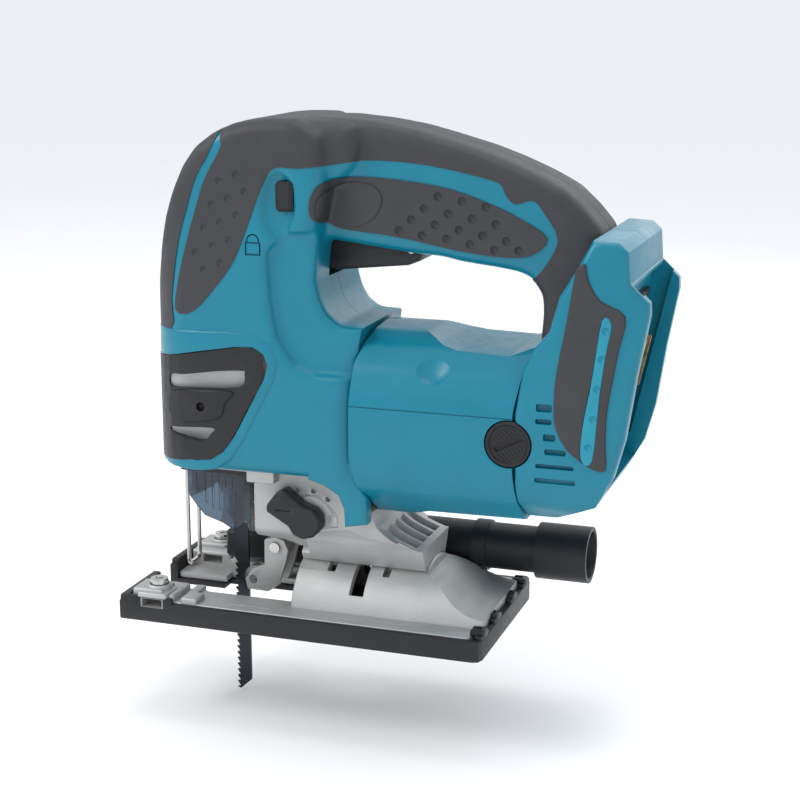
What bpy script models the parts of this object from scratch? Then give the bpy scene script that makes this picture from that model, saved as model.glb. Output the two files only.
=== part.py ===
"""Cordless top-handle jigsaw, body only: casing, motor, gear train, blade drive, tilting base and dust nozzle.

The frame: +X points to the rear, so the saw cuts towards -X; +Z is up; -Y is the tool's left side.
The origin lies on the sole's underside, under the middle of the base and in the plane of the blade.
Outlines are drawn in millimetres and turned into metres by MM.
"""

import math

import bmesh
import bpy
from mathutils import Matrix, Vector

MM = 0.001

# ---------------------------------------------------------------- driving dimensions
HANDLE_TOP_Z = 199.8 * MM      # overall height above the sole
BODY_REAR_X = 133.4 * MM       # rearmost point of the battery rails
SOLE_LENGTH = 150.4 * MM
SOLE_WIDTH = 77.0 * MM

GAP = 0.3 * MM                 # between pieces that touch
RUN = 0.1 * MM                 # round a shaft that turns or slides
WALL = 2.4 * MM                # plastic casing
SKIN = 2.0 * MM                # rubber overmould

HEAD_HALF = 28.5 * MM          # half widths of the casing
HANDLE_HALF = 17.0 * MM
BATTERY_HALF = 34.0 * MM
CASING_ROUND = 3.0 * MM
NECK_WALL = 5.0 * MM            # casing beside the front of the motor

MOTOR_Z = 84.8 * MM            # motor axis, along X
BARREL_RADIUS = 33.6 * MM
YOKE_RADIUS = 27.0 * MM
YOKE_WALL = 2.6 * MM
MAGNET_T = 3.6 * MM
CORE_RADIUS = 19.6 * MM
SHAFT_RADIUS = 3.0 * MM
BRUSH_X = 83.3 * MM
BRUSH_CAP_RADIUS = 8.8 * MM
COMMUTATOR_RADIUS = 9.5 * MM

GEAR_MODULE = 1.0 * MM
PINION_TEETH = 10
PINION_SEAT_RADIUS = 2.6 * MM   # shaft's reduced end that the pinion sits on
GEAR_TEETH = 36
GEAR_X = -10.5 * MM
GEAR_WIDTH = 8.0 * MM
STROKE = 26.0 * MM

RAM_X = -38.0 * MM
RAM_RADIUS = 5.0 * MM
RAM_BOTTOM_Z = 50.0 * MM
GUIDE_PIVOT_Z = 134.0 * MM

BLADE_T = 1.2 * MM
BLADE_BACK_X = -35.2 * MM
BLADE_WIDTH = 6.2 * MM
BLADE_TIP_Z = -40.5 * MM

ROLLER_RADIUS = 5.0 * MM
ROLLER_Z = 11.1 * MM
RETAINER_PIN_X = -20.6 * MM
RETAINER_PIN_Z = 25.9 * MM
RETAINER_PIN_RADIUS = 2.2 * MM

HUMP_RADIUS = 27.5 * MM        # the base tilts about the X axis through the origin
HUMP_WALL = 3.4 * MM
FOOT_FRONT_X = -6.0 * MM
FOOT_REAR_X = 45.5 * MM
FOOT_HALF_ANGLE = math.radians(27.0)
TILT_RANGE = math.radians(45.0) # the base tilts one way, its right edge downwards
TILT_BOLT_X = 20.0 * MM
TILT_BOLT_RADIUS = 2.6 * MM

COVER_T = 2.0 * MM             # sole cover: floor, side wall and its height
COVER_WALL = 2.2 * MM
COVER_HEIGHT = 10.3 * MM
PLATE_T = 2.4 * MM
STRIP_WIDTH = 7.4 * MM
STRIP_Z = 11.3 * MM
SLOT_HALF = 7.25 * MM
WINDOW_HALF = 15.5 * MM
WINDOW_FRONT_X = -50.0 * MM
WINDOW_REAR_X = -12.0 * MM

NOZZLE_RADIUS = 9.5 * MM
NOZZLE_WALL = 1.6 * MM
NOZZLE_Z = 24.2 * MM
NOZZLE_REAR_X = 102.0 * MM
NOZZLE_Y = math.sqrt((HUMP_RADIUS + NOZZLE_RADIUS + 1.0 * MM) ** 2 - NOZZLE_Z ** 2)

LEVER_X = 0.6 * MM             # orbit lever's axis
LEVER_Z = 44.3 * MM
LEVER_SHAFT_RADIUS = 4.0 * MM

TRIGGER_PIVOT_X = 39.0 * MM
TRIGGER_PIVOT_Z = 151.0 * MM
TRIGGER_HALF = 9.0 * MM

OPENER_PIN_X = -50.0 * MM      # the blade-release lever's upright hinge, on the right of the nose
OPENER_T = 4.2 * MM
OPENER_TOP_Z = 112.5 * MM
OPENER_BOTTOM_Z = 67.0 * MM
CORE_HALF = 25.4 * MM          # gear housing's nose inside that lever
CORE_FRONT_X = -63.6 * MM

# the side view is drawn at these sizes; a taller or longer body moves its upper and rear points
DRAWN_TOP_Z = 199.8 * MM
DRAWN_REAR_X = 133.4 * MM
STRETCH_Z = 133.0 * MM
STRETCH_X = 60.0 * MM
RISE = HANDLE_TOP_Z - DRAWN_TOP_Z
REACH = BODY_REAR_X - DRAWN_REAR_X

# ---------------------------------------------------------------- side-view outlines, (x, z) in millimetres
HEAD = [(-70.9, 113.6), (-70.4, 118), (-68.2, 136), (-65.2, 149), (-61.4, 161.5), (-57.6, 172), (-53, 181),
        (-46.5, 188.8), (-38, 193.9), (-29.2, 197), (-21.2, 198.6), (-13.2, 199.5), (-1.4, 199.8), (8, 190),
        (8, 175), (5.5, 158), (4.8, 139), (6.7, 131.4), (9.6, 126), (14.6, 122.3), (24.9, 122), (21.3, 110),
        (20.9, 90), (20.9, 74), (21.6, 64), (12, 61.9), (0, 62.1), (-19, 62), (-40.9, 61.9), (-53, 62.6), (-60, 64), (-66, 66.4), (-66.5, 80),
        (-67, 100)]
HANDLE = [(-18, 196.4), (-3, 199.1), (10.3, 199.5), (25.7, 197.9), (38.4, 195.7), (51.4, 192.5),
          (66.3, 188.4), (77.3, 184.5), (88.3, 179.9), (97.8, 175), (105, 168.6), (111.4, 160.9), (113.2, 150),
          (112, 130), (112, 98), (93.5, 98), (90.6, 112), (89.9, 121), (90.7, 130.3), (90.2, 137), (86.2, 142.6), (81.7, 144.6),
          (74.3, 145.8), (59.3, 147.4), (51.7, 149), (42.6, 149.4), (30, 150.8), (8, 153.4), (-2, 155), (-14, 160)]
BATTERY = [(88.3, 113), (92.5, 121.5), (97.5, 127), (101, 140), (107.5, 151), (112.6, 160.6), (121.8, 160.2),
           (125.4, 157), (126.2, 146), (133.2, 139.4), (133.4, 134.9), (129.4, 112.9), (125.9, 89), (122, 74.5),
           (115.4, 62.6), (107, 58.4), (98.2, 54.4), (89, 53.2), (86.4, 62), (85.6, 73), (85.3, 96)]
OVERMOULD = [(-51.9, 125.3), (-50.3, 136.6), (-45.8, 152.4), (-41.4, 165.7), (-37.1, 177.4), (-30.4, 189),
             (-25, 206), (60, 206), (112, 180), (118, 166), (113.6, 159.6), (110.6, 152), (116.1, 139.8),
             (125.4, 135.6), (123.1, 121.8), (119.6, 100.8), (119, 80), (113, 78.4), (107.2, 82.2), (103, 88),
             (100.7, 95.5), (100.9, 108), (104.1, 130.7), (107.2, 149.6), (102.8, 143.7), (99, 129.7),
             (95.4, 123.4), (84, 119), (84, 139), (90.4, 146), (96.4, 157.6), (91.4, 167), (86.9, 171.8),
             (80.4, 170.2), (76.7, 173.4), (74.2, 177.6), (63.7, 180.3), (49, 183), (34.2, 184.3),
             (21.5, 184.2), (11.6, 182.8), (0, 181.6), (-9, 181.4), (-13.8, 175.6), (-21.2, 157.3),
             (-26.2, 146.1), (-33, 136.8), (-43.7, 125.6)]
SIDE_PAD = [(4.5, 165.4), (5.2, 171.3), (8.4, 175.7), (14.2, 177.8), (27.1, 178.1), (42, 176.9), (56.7, 174.6),
            (71.3, 169.9), (82.1, 165.2), (92.5, 158.4), (86, 151.6), (73, 150.8), (56.9, 152.6), (42, 155.3),
            (30.8, 156.9), (19.4, 157.8), (11.8, 158.9), (6.4, 162)]
NOSE_BUMPER = [(-75, 117.5), (-60.4, 117.5), (-58.6, 130), (-54.4, 150.9), (-49.6, 165), (-44.4, 177.4),
               (-38.4, 187), (-36, 199), (-60, 199), (-75, 170)]
TRIGGER = [(-0.8, 145.3), (1.9, 141.6), (8.2, 141.3), (22, 142.8), (36.7, 144.4), (41, 146.2), (42.6, 150.6),
           (40.4, 154.2), (36, 155), (20, 156.4), (1.6, 158), (-0.8, 153.5)]
OPENER = [(-80, 67), (-43.8, 67.2), (-38, 68.1), (-33.1, 71.3), (-28.4, 77.5), (-22.9, 87.5), (-15.4, 101.3),
          (-13.9, 106.3), (-15.3, 109.9), (-19.2, 112.3), (-26.4, 112), (-42.6, 109.2), (-57, 106.3),
          (-72, 103.5), (-80, 102.5)]
OPENER_WINDOWS = [[(-55, 95.1), (-25.5, 97), (-22.6, 102.4), (-34.2, 102.8), (-55, 99.7)],
                  [(-55, 76.3), (-47.2, 75), (-41, 74.4), (-37.3, 77.7), (-37, 80.1), (-55, 78.5)]]
CHIP_COVER = [(-56.4, 57.5), (-56.4, 47), (-53.4, 43), (-49.2, 38.2), (-41.1, 35.7), (-36.8, 33.3),
              (-33.6, 35), (-31, 37.6), (-29.2, 32.7), (-28.4, 57.5)]
LEVER = [(-8.4, 57.0), (-11, 55.8), (-15.4, 50.2), (-15.6, 47.6), (-6.4, 42.2), (-4.4, 39), (-0.6, 37.6),
         (4, 38.8), (6.6, 42), (6.6, 46.6), (4, 49.8), (0, 50.8), (-2.4, 52.4)]
RETAINER_ARM = [(-25.2, 28.6), (-20.6, 30.2), (-16.8, 29), (-15, 25), (-16.4, 19), (-19.6, 9.6), (-24, 6.6),
                (-33, 6.8), (-34, 11), (-31, 15.4), (-25.4, 18)]
HOUSING_SCREWS = [(-51, 157), (-8, 189), (62, 179), (101, 158)]


# ---------------------------------------------------------------- helpers
def body_point(x, z):
    """Side-view point in metres, moved with the body's height and length."""
    x, z = x * MM, z * MM
    return (x + (REACH if x > STRETCH_X else 0.0), z + (RISE if z > STRETCH_Z else 0.0))


def body_outline(points):
    return [body_point(x, z) for x, z in points]


def millimetres(points):
    return [(u * MM, v * MM) for u, v in points]


TURN = {
    "X": Matrix(((0, 0, 1, 0), (1, 0, 0, 0), (0, 1, 0, 0), (0, 0, 0, 1))),
    "Y": Matrix(((1, 0, 0, 0), (0, 0, -1, 0), (0, 1, 0, 0), (0, 0, 0, 1))),
    "Z": Matrix.Identity(4),
}


def link(name, mesh):
    obj = bpy.data.objects.new(name, mesh)
    WORKBENCH.objects.link(obj)
    return obj


def clean(mesh, outwards=True):
    """Weld a mesh and turn its faces outwards, which suits a body with no inner skin."""
    bm = bmesh.new()
    bm.from_mesh(mesh)
    bmesh.ops.remove_doubles(bm, verts=bm.verts, dist=1e-6)
    if outwards:
        bmesh.ops.recalc_face_normals(bm, faces=bm.faces)
    bm.to_mesh(mesh)
    bm.free()
    return mesh


def evaluated_mesh(obj):
    graph = bpy.context.evaluated_depsgraph_get()
    return bpy.data.meshes.new_from_object(obj.evaluated_get(graph))


def plate(name, outline, axis, low, high, rounding=0.0, inset=0.0):
    """Flat outline extruded between two heights along an axis, with its rims rounded and its outline drawn in."""
    curve = bpy.data.curves.new(name, "CURVE")
    curve.dimensions = "2D"
    curve.fill_mode = "BOTH"
    curve.extrude = (high - low) / 2 - rounding
    curve.bevel_depth = rounding
    curve.bevel_resolution = 1
    area = sum(a[0] * b[1] - b[0] * a[1] for a, b in zip(outline, outline[1:] + outline[:1]))
    ring = outline if area > 0 else outline[::-1]
    curve.offset = -(rounding + inset)
    spline = curve.splines.new("POLY")
    spline.points.add(len(ring) - 1)
    for point, (u, v) in zip(spline.points, ring):
        point.co = (u, v, 0, 1)
    spline.use_cyclic_u = True
    guide = link(name, curve)
    mesh = evaluated_mesh(guide)
    middle = (high + low) / 2
    shift = middle if axis != "Y" else -middle
    mesh.transform(TURN[axis] @ Matrix.Translation((0, 0, shift)))
    bpy.data.objects.remove(guide)
    bpy.data.curves.remove(curve)
    return link(name, clean(mesh))


def box(name, low, high, rounding=0.0):
    bm = bmesh.new()
    bmesh.ops.create_cube(bm, size=1.0)
    size = [h - l for l, h in zip(low, high)]
    middle = [(h + l) / 2 for l, h in zip(low, high)]
    bmesh.ops.scale(bm, vec=size, verts=bm.verts)
    bmesh.ops.translate(bm, vec=middle, verts=bm.verts)
    if rounding:
        bmesh.ops.bevel(bm, geom=bm.edges, offset=rounding, segments=1, profile=0.5, affect="EDGES",
                        material=-1)
    mesh = bpy.data.meshes.new(name)
    bm.to_mesh(mesh)
    bm.free()
    return link(name, mesh)


def rod(name, axis, centre, low, high, radius, sides=24, end_radius=None):
    """Cylinder or cone along an axis, between two places on that axis."""
    bm = bmesh.new()
    bmesh.ops.create_cone(bm, cap_ends=True, segments=sides, radius1=radius,
                          radius2=radius if end_radius is None else end_radius, depth=high - low)
    turn = {"X": Matrix.Rotation(math.pi / 2, 4, "Y"), "Y": Matrix.Rotation(-math.pi / 2, 4, "X"),
            "Z": Matrix.Identity(4)}[axis]
    middle = (high + low) / 2
    place = {"X": (middle, centre[0], centre[1]), "Y": (centre[0], middle, centre[1]),
             "Z": (centre[0], centre[1], middle)}[axis]
    bm.transform(Matrix.Translation(place) @ turn)
    mesh = bpy.data.meshes.new(name)
    bm.to_mesh(mesh)
    bm.free()
    return link(name, clean(mesh))


def tube(name, axis, centre, low, high, radius, inner, sides=24):
    """Ring or tube with an open bore, turned about its axis from its section."""
    section = bmesh.new()
    corners = [section.verts.new((r, 0, z)) for r, z in ((radius, high), (radius, low), (inner, low), (inner, high))]
    for a, b in zip(corners, corners[1:] + corners[:1]):
        section.edges.new((a, b))
    mesh = bpy.data.meshes.new(name)
    section.to_mesh(mesh)
    section.free()
    guide = link(name, mesh)
    screw = guide.modifiers.new("turn", "SCREW")
    screw.steps = sides
    screw.render_steps = sides
    screw.use_merge_vertices = True
    screw.merge_threshold = 1e-5
    screw.use_normal_calculate = True
    turned = evaluated_mesh(guide)
    bpy.data.objects.remove(guide)
    place = {"X": Matrix.Translation((0, centre[0], centre[1])) @ TURN["X"],
             "Y": Matrix.Translation((centre[0], 0, centre[1])) @ Matrix.Rotation(-math.pi / 2, 4, "X"),
             "Z": Matrix.Translation((centre[0], centre[1], 0))}[axis]
    turned.transform(place)
    return link(name, clean(turned))


def combine(target, others, operation):
    for other in others:
        modifier = target.modifiers.new("shape", "BOOLEAN")
        modifier.operation = operation
        modifier.solver = "EXACT"
        modifier.object = other
        mesh = evaluated_mesh(target)
        target.modifiers.clear()
        target.data = clean(mesh, outwards=False)
        bpy.data.objects.remove(other)
    return target


def join(target, *others):
    return combine(target, others, "UNION")


def cut(target, *others):
    return combine(target, others, "DIFFERENCE")


def keep(target, *others):
    return combine(target, others, "INTERSECT")


def copy(obj):
    return link(obj.name, obj.data.copy())


def mirrored(obj):
    """The same piece on the other side of the blade plane."""
    twin = copy(obj)
    twin.data.transform(Matrix.Diagonal((1, -1, 1, 1)))
    clean(twin.data)
    return twin


def material(name, colour, roughness, metallic=0.0, alpha=1.0):
    made = bpy.data.materials.get(name)
    if made:
        return made
    made = bpy.data.materials.new(name)
    made.use_nodes = True
    shader = made.node_tree.nodes["Principled BSDF"]
    shader.inputs["Base Color"].default_value = (*colour, 1)
    shader.inputs["Roughness"].default_value = roughness
    shader.inputs["Metallic"].default_value = metallic
    shader.inputs["Alpha"].default_value = alpha
    return made


LOOKS = {
    "teal": ((0.02, 0.28, 0.36), 0.42, 0.0, 1.0),
    "rubber": ((0.045, 0.043, 0.05), 0.7, 0.0, 1.0),
    "black": ((0.02, 0.02, 0.022), 0.5, 0.0, 1.0),
    "cast": ((0.5, 0.5, 0.5), 0.45, 0.9, 1.0),
    "steel": ((0.42, 0.42, 0.43), 0.3, 1.0, 1.0),
    "dark_steel": ((0.08, 0.1, 0.14), 0.4, 0.8, 1.0),
    "copper": ((0.6, 0.3, 0.16), 0.35, 1.0, 1.0),
    "brass": ((0.55, 0.42, 0.2), 0.35, 1.0, 1.0),
    "clear": ((0.25, 0.4, 0.5), 0.15, 0.0, 0.4),
    "carbon": ((0.03, 0.03, 0.03), 0.6, 0.0, 1.0),
}


def finish(obj, name, look, origin=(0.0, 0.0, 0.0)):
    """Name a finished piece, put its origin on its joint and file it with the saw's parts."""
    obj.name = name
    obj.data.name = name
    offset = Vector(origin)
    obj.data.transform(Matrix.Translation(-offset))
    obj.location = offset
    obj.data.materials.clear()
    obj.data.materials.append(material(look, *LOOKS[look]))
    for face in obj.data.polygons:
        face.material_index = 0
    obj.data.shade_smooth()
    obj.data.set_sharp_from_angle(angle=math.radians(32))
    WORKBENCH.objects.unlink(obj)
    SAW.objects.link(obj)
    return obj


# ---------------------------------------------------------------- casing
def casing_solid(inset, name):
    """Head, handle and battery section as one solid, drawn in from the outer surface by an inset."""
    rounding = CASING_ROUND
    head = plate(name, body_outline(HEAD), "Y", -HEAD_HALF + inset, HEAD_HALF - inset, rounding, inset)
    handle = plate(name, body_outline(HANDLE), "Y", -HANDLE_HALF + inset, HANDLE_HALF - inset, rounding, inset)
    rear = plate(name, body_outline(BATTERY), "Y", -BATTERY_HALF + inset, BATTERY_HALF - inset, rounding, inset)
    return join(head, handle, rear)


def add_casing():
    """Two clamshells with rubber overmoulds, side pads and a rubber nose bumper."""
    outer = casing_solid(0.0, "outer")
    core = casing_solid(SKIN, "core")
    near_core = casing_solid(SKIN - GAP, "near_core")
    hollow = casing_solid(SKIN + WALL, "hollow")
    wide = BATTERY_HALF + 6 * MM

    def overlay(name, points, half, inset):
        return plate(name, points, "Y", -half, half, 0.0, inset)

    rubber = keep(copy(outer), overlay("rubber", body_outline(OVERMOULD), wide, GAP))
    pads = keep(copy(outer), overlay("pads", body_outline(SIDE_PAD), wide, GAP))
    bumper = keep(copy(outer), overlay("bumper", body_outline(NOSE_BUMPER), 16 * MM, GAP))
    for piece in (rubber, pads, bumper):
        cut(piece, copy(near_core))
    shell = cut(outer, overlay("a", body_outline(OVERMOULD), wide, 0.0),
                overlay("b", body_outline(SIDE_PAD), wide, 0.0),
                overlay("c", body_outline(NOSE_BUMPER), 16 * MM + GAP, 0.0))
    join(shell, core)
    cut(shell, hollow)
    bpy.data.objects.remove(near_core)
    for side in (-1, 1):
        low, high = sorted((side * (SKIRT_HALF - WALL), side * SKIRT_HALF))
        join(shell, plate("skirt", millimetres(SKIRT), "Y", low, high))
    add_openings(shell)
    add_bosses(shell)
    trim = GAP / 2
    for side, name in ((-1, "left"), (1, "right")):
        low, high = sorted((side * trim, side * 60 * MM))
        half = keep(copy(shell), box("half", (-0.2, low, -0.1), (0.3, high, 0.4)))
        finish(half, "housing_" + name, "teal")
        low, high = sorted((side * trim, side * 60 * MM))
        skin = keep(copy(rubber), box("half", (-0.2, low, -0.1), (0.3, high, 0.4)))
        finish(skin, "overmould_" + name, "rubber")
        pad = keep(copy(pads), box("half", (-0.2, low, -0.1), (0.3, high, 0.4)))
        cut(pad, box("edge", (-0.2, -HANDLE_HALF + 3 * MM, -0.1), (0.3, HANDLE_HALF - 3 * MM, 0.4)))
        finish(pad, "side_pad_" + name, "rubber")
    finish(bumper, "nose_bumper", "rubber")
    for used in (shell, rubber, pads):
        bpy.data.objects.remove(used)


def add_openings(shell):
    """Openings of the casing: gear housing's nose, motor barrel, trigger, lock button and battery slide."""
    wide = BATTERY_HALF + 6 * MM
    nose = box("nose", (-80 * MM, -wide, 50 * MM), (-12.6 * MM, wide, OPENER_TOP_Z + 0.6 * MM))
    below = box("below", (-80 * MM, -20.6 * MM, 40 * MM), (22 * MM, 20.6 * MM, 67 * MM))
    barrel = plate("barrel", body_outline(BARREL_GAP), "Y", -wide, wide)
    neck = rod("neck", "X", (0, MOTOR_Z), 10 * MM, 30 * MM, HEAD_HALF - NECK_WALL, 32)
    bore = rod("bore", "X", (0, MOTOR_Z), 80 * MM + REACH, 99 * MM + REACH, BARREL_RADIUS - 4.2 * MM, 32)
    x, z = body_point(20, 147)
    slot = box("trigger", (x - 24 * MM, -TRIGGER_HALF - GAP, z - 14 * MM),
               (x + 24 * MM, TRIGGER_HALF + GAP, z + 12 * MM))
    px, pz = body_point(TRIGGER_PIVOT_X / MM, TRIGGER_PIVOT_Z / MM)
    pin = rod("pin", "Y", (px, pz), -TRIGGER_HALF - 3 * MM - GAP, TRIGGER_HALF + 3 * MM + GAP, 1.5 * MM + GAP, 12)
    caps = rod("caps", "Y", (BRUSH_X + REACH, MOTOR_Z), -wide, wide, BRUSH_CAP_RADIUS + GAP, 24)
    x, z = body_point(*LOCK_BUTTON)
    button = box("button", (x - 3.9 * MM, -wide, z - 6.1 * MM), (x + 3.9 * MM, wide, z + 6.1 * MM))
    cut(shell, nose, below, barrel, neck, bore, slot, pin, caps, button, battery_slide())


SKIRT = [(17.2, 44.4), (25.6, 46.6), (25.2, 56), (22, 62), (20.4, 69), (6, 69), (6, 61.4), (15.4, 56.4),
         (16.9, 51.7)]
SKIRT_HALF = 26.0 * MM
LOCK_BUTTON = (-5.5, 171.0)
BARREL_GAP = [(24.6, 130), (33.6, 121.4), (45, 120.9), (54, 117.4), (60, 116.1), (80, 115.4), (92.6, 121),
              (87.7, 113), (85, 96), (85.3, 73), (86.2, 62), (88.6, 50), (60, 44), (26, 40), (26.5, 56.5),
              (22.6, 62), (21, 74), (21, 90), (21.4, 110)]
RAIL_LEAN = math.radians(12.6)
SLIDE_DEPTH = 13.0 * MM
SLIDE_HALF = 28.0 * MM
SLIDE_BOTTOM = 8.0 * MM


def lean():
    """Frame of the battery slide: its Z runs up the rear face and its X points away from it."""
    x, z = body_point(118.2, 60.0)
    return Matrix.Translation((x, 0, z)) @ Matrix.Rotation(RAIL_LEAN, 4, "Y")


def leaning_box(name, low, high, rounding=0.0):
    made = box(name, low, high, rounding)
    made.data.transform(lean())
    return made


def battery_slide():
    """Pocket that the battery slides down into, with an undercut groove along each rail."""
    pocket = leaning_box("pocket", (-SLIDE_DEPTH, -SLIDE_HALF, SLIDE_BOTTOM), (30 * MM, SLIDE_HALF, 84 * MM))
    grooves = leaning_box("grooves", (-SLIDE_DEPTH + 2.6 * MM, -SLIDE_HALF - 3 * MM, SLIDE_BOTTOM + 8 * MM),
                          (-SLIDE_DEPTH + 7.4 * MM, SLIDE_HALF + 3 * MM, 90 * MM))
    return join(pocket, grooves)


def add_bosses(shell):
    """Screw bosses across the casing, with the holes that the screws pass through."""
    for x, z in HOUSING_SCREWS:
        x, z = body_point(x, z)
        half = boss_half(x)
        boss = rod("boss", "Y", (x, z), -half + 2.6 * MM, half - 2.6 * MM, 4.0 * MM, 12)
        join(shell, boss)
    for x, z in HOUSING_SCREWS:
        x, z = body_point(x, z)
        half = boss_half(x)
        hole = rod("hole", "Y", (x, z), -half + 4 * MM, 60 * MM, 1.8 * MM, 12)
        mouth = rod("mouth", "Y", (x, z), half - 5 * MM, 60 * MM, 3.6 * MM, 12)
        cut(shell, hole, mouth)


def boss_half(x):
    """Half width of the casing where a screw crosses it."""
    return HEAD_HALF if x < 4 * MM else HANDLE_HALF


def add_housing_screws():
    for number, (x, z) in enumerate(HOUSING_SCREWS, 1):
        x, z = body_point(x, z)
        half = boss_half(x)
        shank = rod("shank", "Y", (x, z), -half + 5 * MM, half - 4.4 * MM, 1.5 * MM, 8)
        join(shank, rod("head", "Y", (x, z), half - 4.7 * MM, half - 2.6 * MM, 3.2 * MM, 12))
        finish(shank, f"housing_screw_{number}", "dark_steel")


# ---------------------------------------------------------------- motor
def add_motor():
    """Barrel between the split lines, steel yoke with magnets, brushes and their caps."""
    front = 22.0 * MM
    rear = 84.6 * MM + REACH
    outline = body_outline(BARREL_GAP)
    barrel = keep(rod("barrel", "X", (0, MOTOR_Z), front - 6 * MM, rear + 12 * MM, BARREL_RADIUS, 32),
                  plate("trim", outline, "Y", -0.05, 0.05, 0.0, GAP))
    deck = keep(plate("deck", body_outline(BARREL_GAP), "Y", -15 * MM, 15 * MM, 0.0, GAP),
                box("deck_box", (front - 6 * MM, -0.05, MOTOR_Z + 24 * MM), (rear + 12 * MM, 0.05, 118.5 * MM)))
    join(barrel, deck)
    cut(barrel, rod("bore", "X", (0, MOTOR_Z), 0, 0.12 + REACH, YOKE_RADIUS + GAP, 32))
    for side in (-1, 1):
        low, high = sorted((side * 20 * MM, side * 50 * MM))
        cut(barrel, rod("cap_hole", "Y", (BRUSH_X + REACH, MOTOR_Z), low, high, BRUSH_CAP_RADIUS + GAP, 24))
    finish(barrel, "motor_housing", "teal")

    yoke_front = 34.0 * MM
    yoke_rear = 72.0 * MM + REACH
    finish(tube("yoke", "X", (0, MOTOR_Z), yoke_front, yoke_rear, YOKE_RADIUS, YOKE_RADIUS - YOKE_WALL, 32),
           "motor_yoke", "steel")
    magnet_outer = YOKE_RADIUS - YOKE_WALL - GAP
    for name, low, high in (("upper", MOTOR_Z + 6 * MM, 0.2), ("lower", 0.0, MOTOR_Z - 6 * MM)):
        ring = tube("magnet", "X", (0, MOTOR_Z), yoke_front + 2 * MM, yoke_rear - 2 * MM, magnet_outer,
                    magnet_outer - MAGNET_T, 32)
        finish(keep(ring, box("arc", (0, -0.05, low), (0.2, 0.05, high))), "magnet_" + name, "carbon")

    axis = (0, MOTOR_Z)
    pivot = (0, 0, MOTOR_Z)
    commutator = (BRUSH_X - 6 * MM + REACH, BRUSH_X + 5.6 * MM + REACH)
    core = tube("core", "X", axis, yoke_front + 1 * MM, yoke_rear - 1 * MM, CORE_RADIUS, SHAFT_RADIUS + GAP, 24)
    finish(core, "armature_core", "copper", pivot)
    finish(tube("commutator", "X", axis, *commutator, COMMUTATOR_RADIUS, SHAFT_RADIUS + GAP), "commutator",
           "copper", pivot)
    finish(tube("fan", "X", axis, 24.5 * MM, 32.0 * MM, YOKE_RADIUS - 2 * MM, SHAFT_RADIUS + GAP, 24),
           "cooling_fan", "black", pivot)
    shaft = rod("shaft", "X", axis, GEAR_X + GEAR_WIDTH / 2 + 2 * MM, 97 * MM + REACH, SHAFT_RADIUS, 16)
    join(shaft, rod("seat", "X", axis, GEAR_X - 6 * MM, 20 * MM, PINION_SEAT_RADIUS, 16))
    finish(shaft, "armature_shaft", "steel", pivot)
    pinion = plate("pinion", gear_outline(PINION_TEETH, 0.0, 0.0, MOTOR_Z), "X", GEAR_X - 5 * MM, GEAR_X + 5 * MM)
    cut(pinion, rod("bore", "X", axis, GEAR_X - 9 * MM, GEAR_X + 9 * MM, PINION_SEAT_RADIUS + GAP, 16))
    finish(pinion, "pinion", "steel", pivot)

    bearing = SHAFT_RADIUS + RUN
    finish(tube("bearing", "X", axis, 3 * MM, 9 * MM, BEARING_RADIUS, bearing), "front_bearing", "steel")
    finish(tube("bearing", "X", axis, 91 * MM + REACH, 96.5 * MM + REACH, BEARING_RADIUS, bearing), "rear_bearing",
           "steel")
    carrier = box("carrier", (90.2 * MM + REACH, -26 * MM, MOTOR_Z - 12 * MM),
                  (97.8 * MM + REACH, 26 * MM, MOTOR_Z + 12 * MM))
    cut(carrier, rod("seat", "X", axis, 90.7 * MM + REACH, 0.12 + REACH, BEARING_RADIUS + GAP, 24),
        rod("eye", "X", axis, 0.05, 0.12 + REACH, SHAFT_RADIUS + 1.4 * MM, 16))
    finish(carrier, "bearing_carrier", "black")
    for side, name in ((-1, "left"), (1, "right")):
        inner = COMMUTATOR_RADIUS + GAP
        middle = (BRUSH_X + REACH, MOTOR_Z)
        low, high = sorted((side * inner, side * 20 * MM))
        size = 2.6 * MM
        brush = box("brush", (middle[0] - size, low, MOTOR_Z - size), (middle[0] + size, high, MOTOR_Z + size))
        finish(brush, "carbon_brush_" + name, "carbon")
        low, high = sorted((side * (inner + 2 * MM), side * 26.4 * MM))
        holder = box("holder", (middle[0] - size - 1.8 * MM, low, MOTOR_Z - size - 1.8 * MM),
                     (middle[0] + size + 1.8 * MM, high, MOTOR_Z + size + 1.8 * MM))
        cut(holder, box("channel", (middle[0] - size - GAP, -0.05, MOTOR_Z - size - GAP),
                        (middle[0] + size + GAP, 0.05, MOTOR_Z + size + GAP)))
        finish(holder, "brush_holder_" + name, "brass")
        low, high = sorted((side * 26.8 * MM, side * 31.6 * MM))
        cap = rod("cap", "Y", middle, low, high, BRUSH_CAP_RADIUS, 24)
        low, high = sorted((side * 30.6 * MM, side * 40 * MM))
        cut(cap, box("slot", (middle[0] - 6 * MM, low, MOTOR_Z - 0.9 * MM), (middle[0] + 6 * MM, high,
                                                                          MOTOR_Z + 0.9 * MM)))
        finish(cap, "brush_cap_" + name, "black")


BEARING_RADIUS = 8.0 * MM


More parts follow.
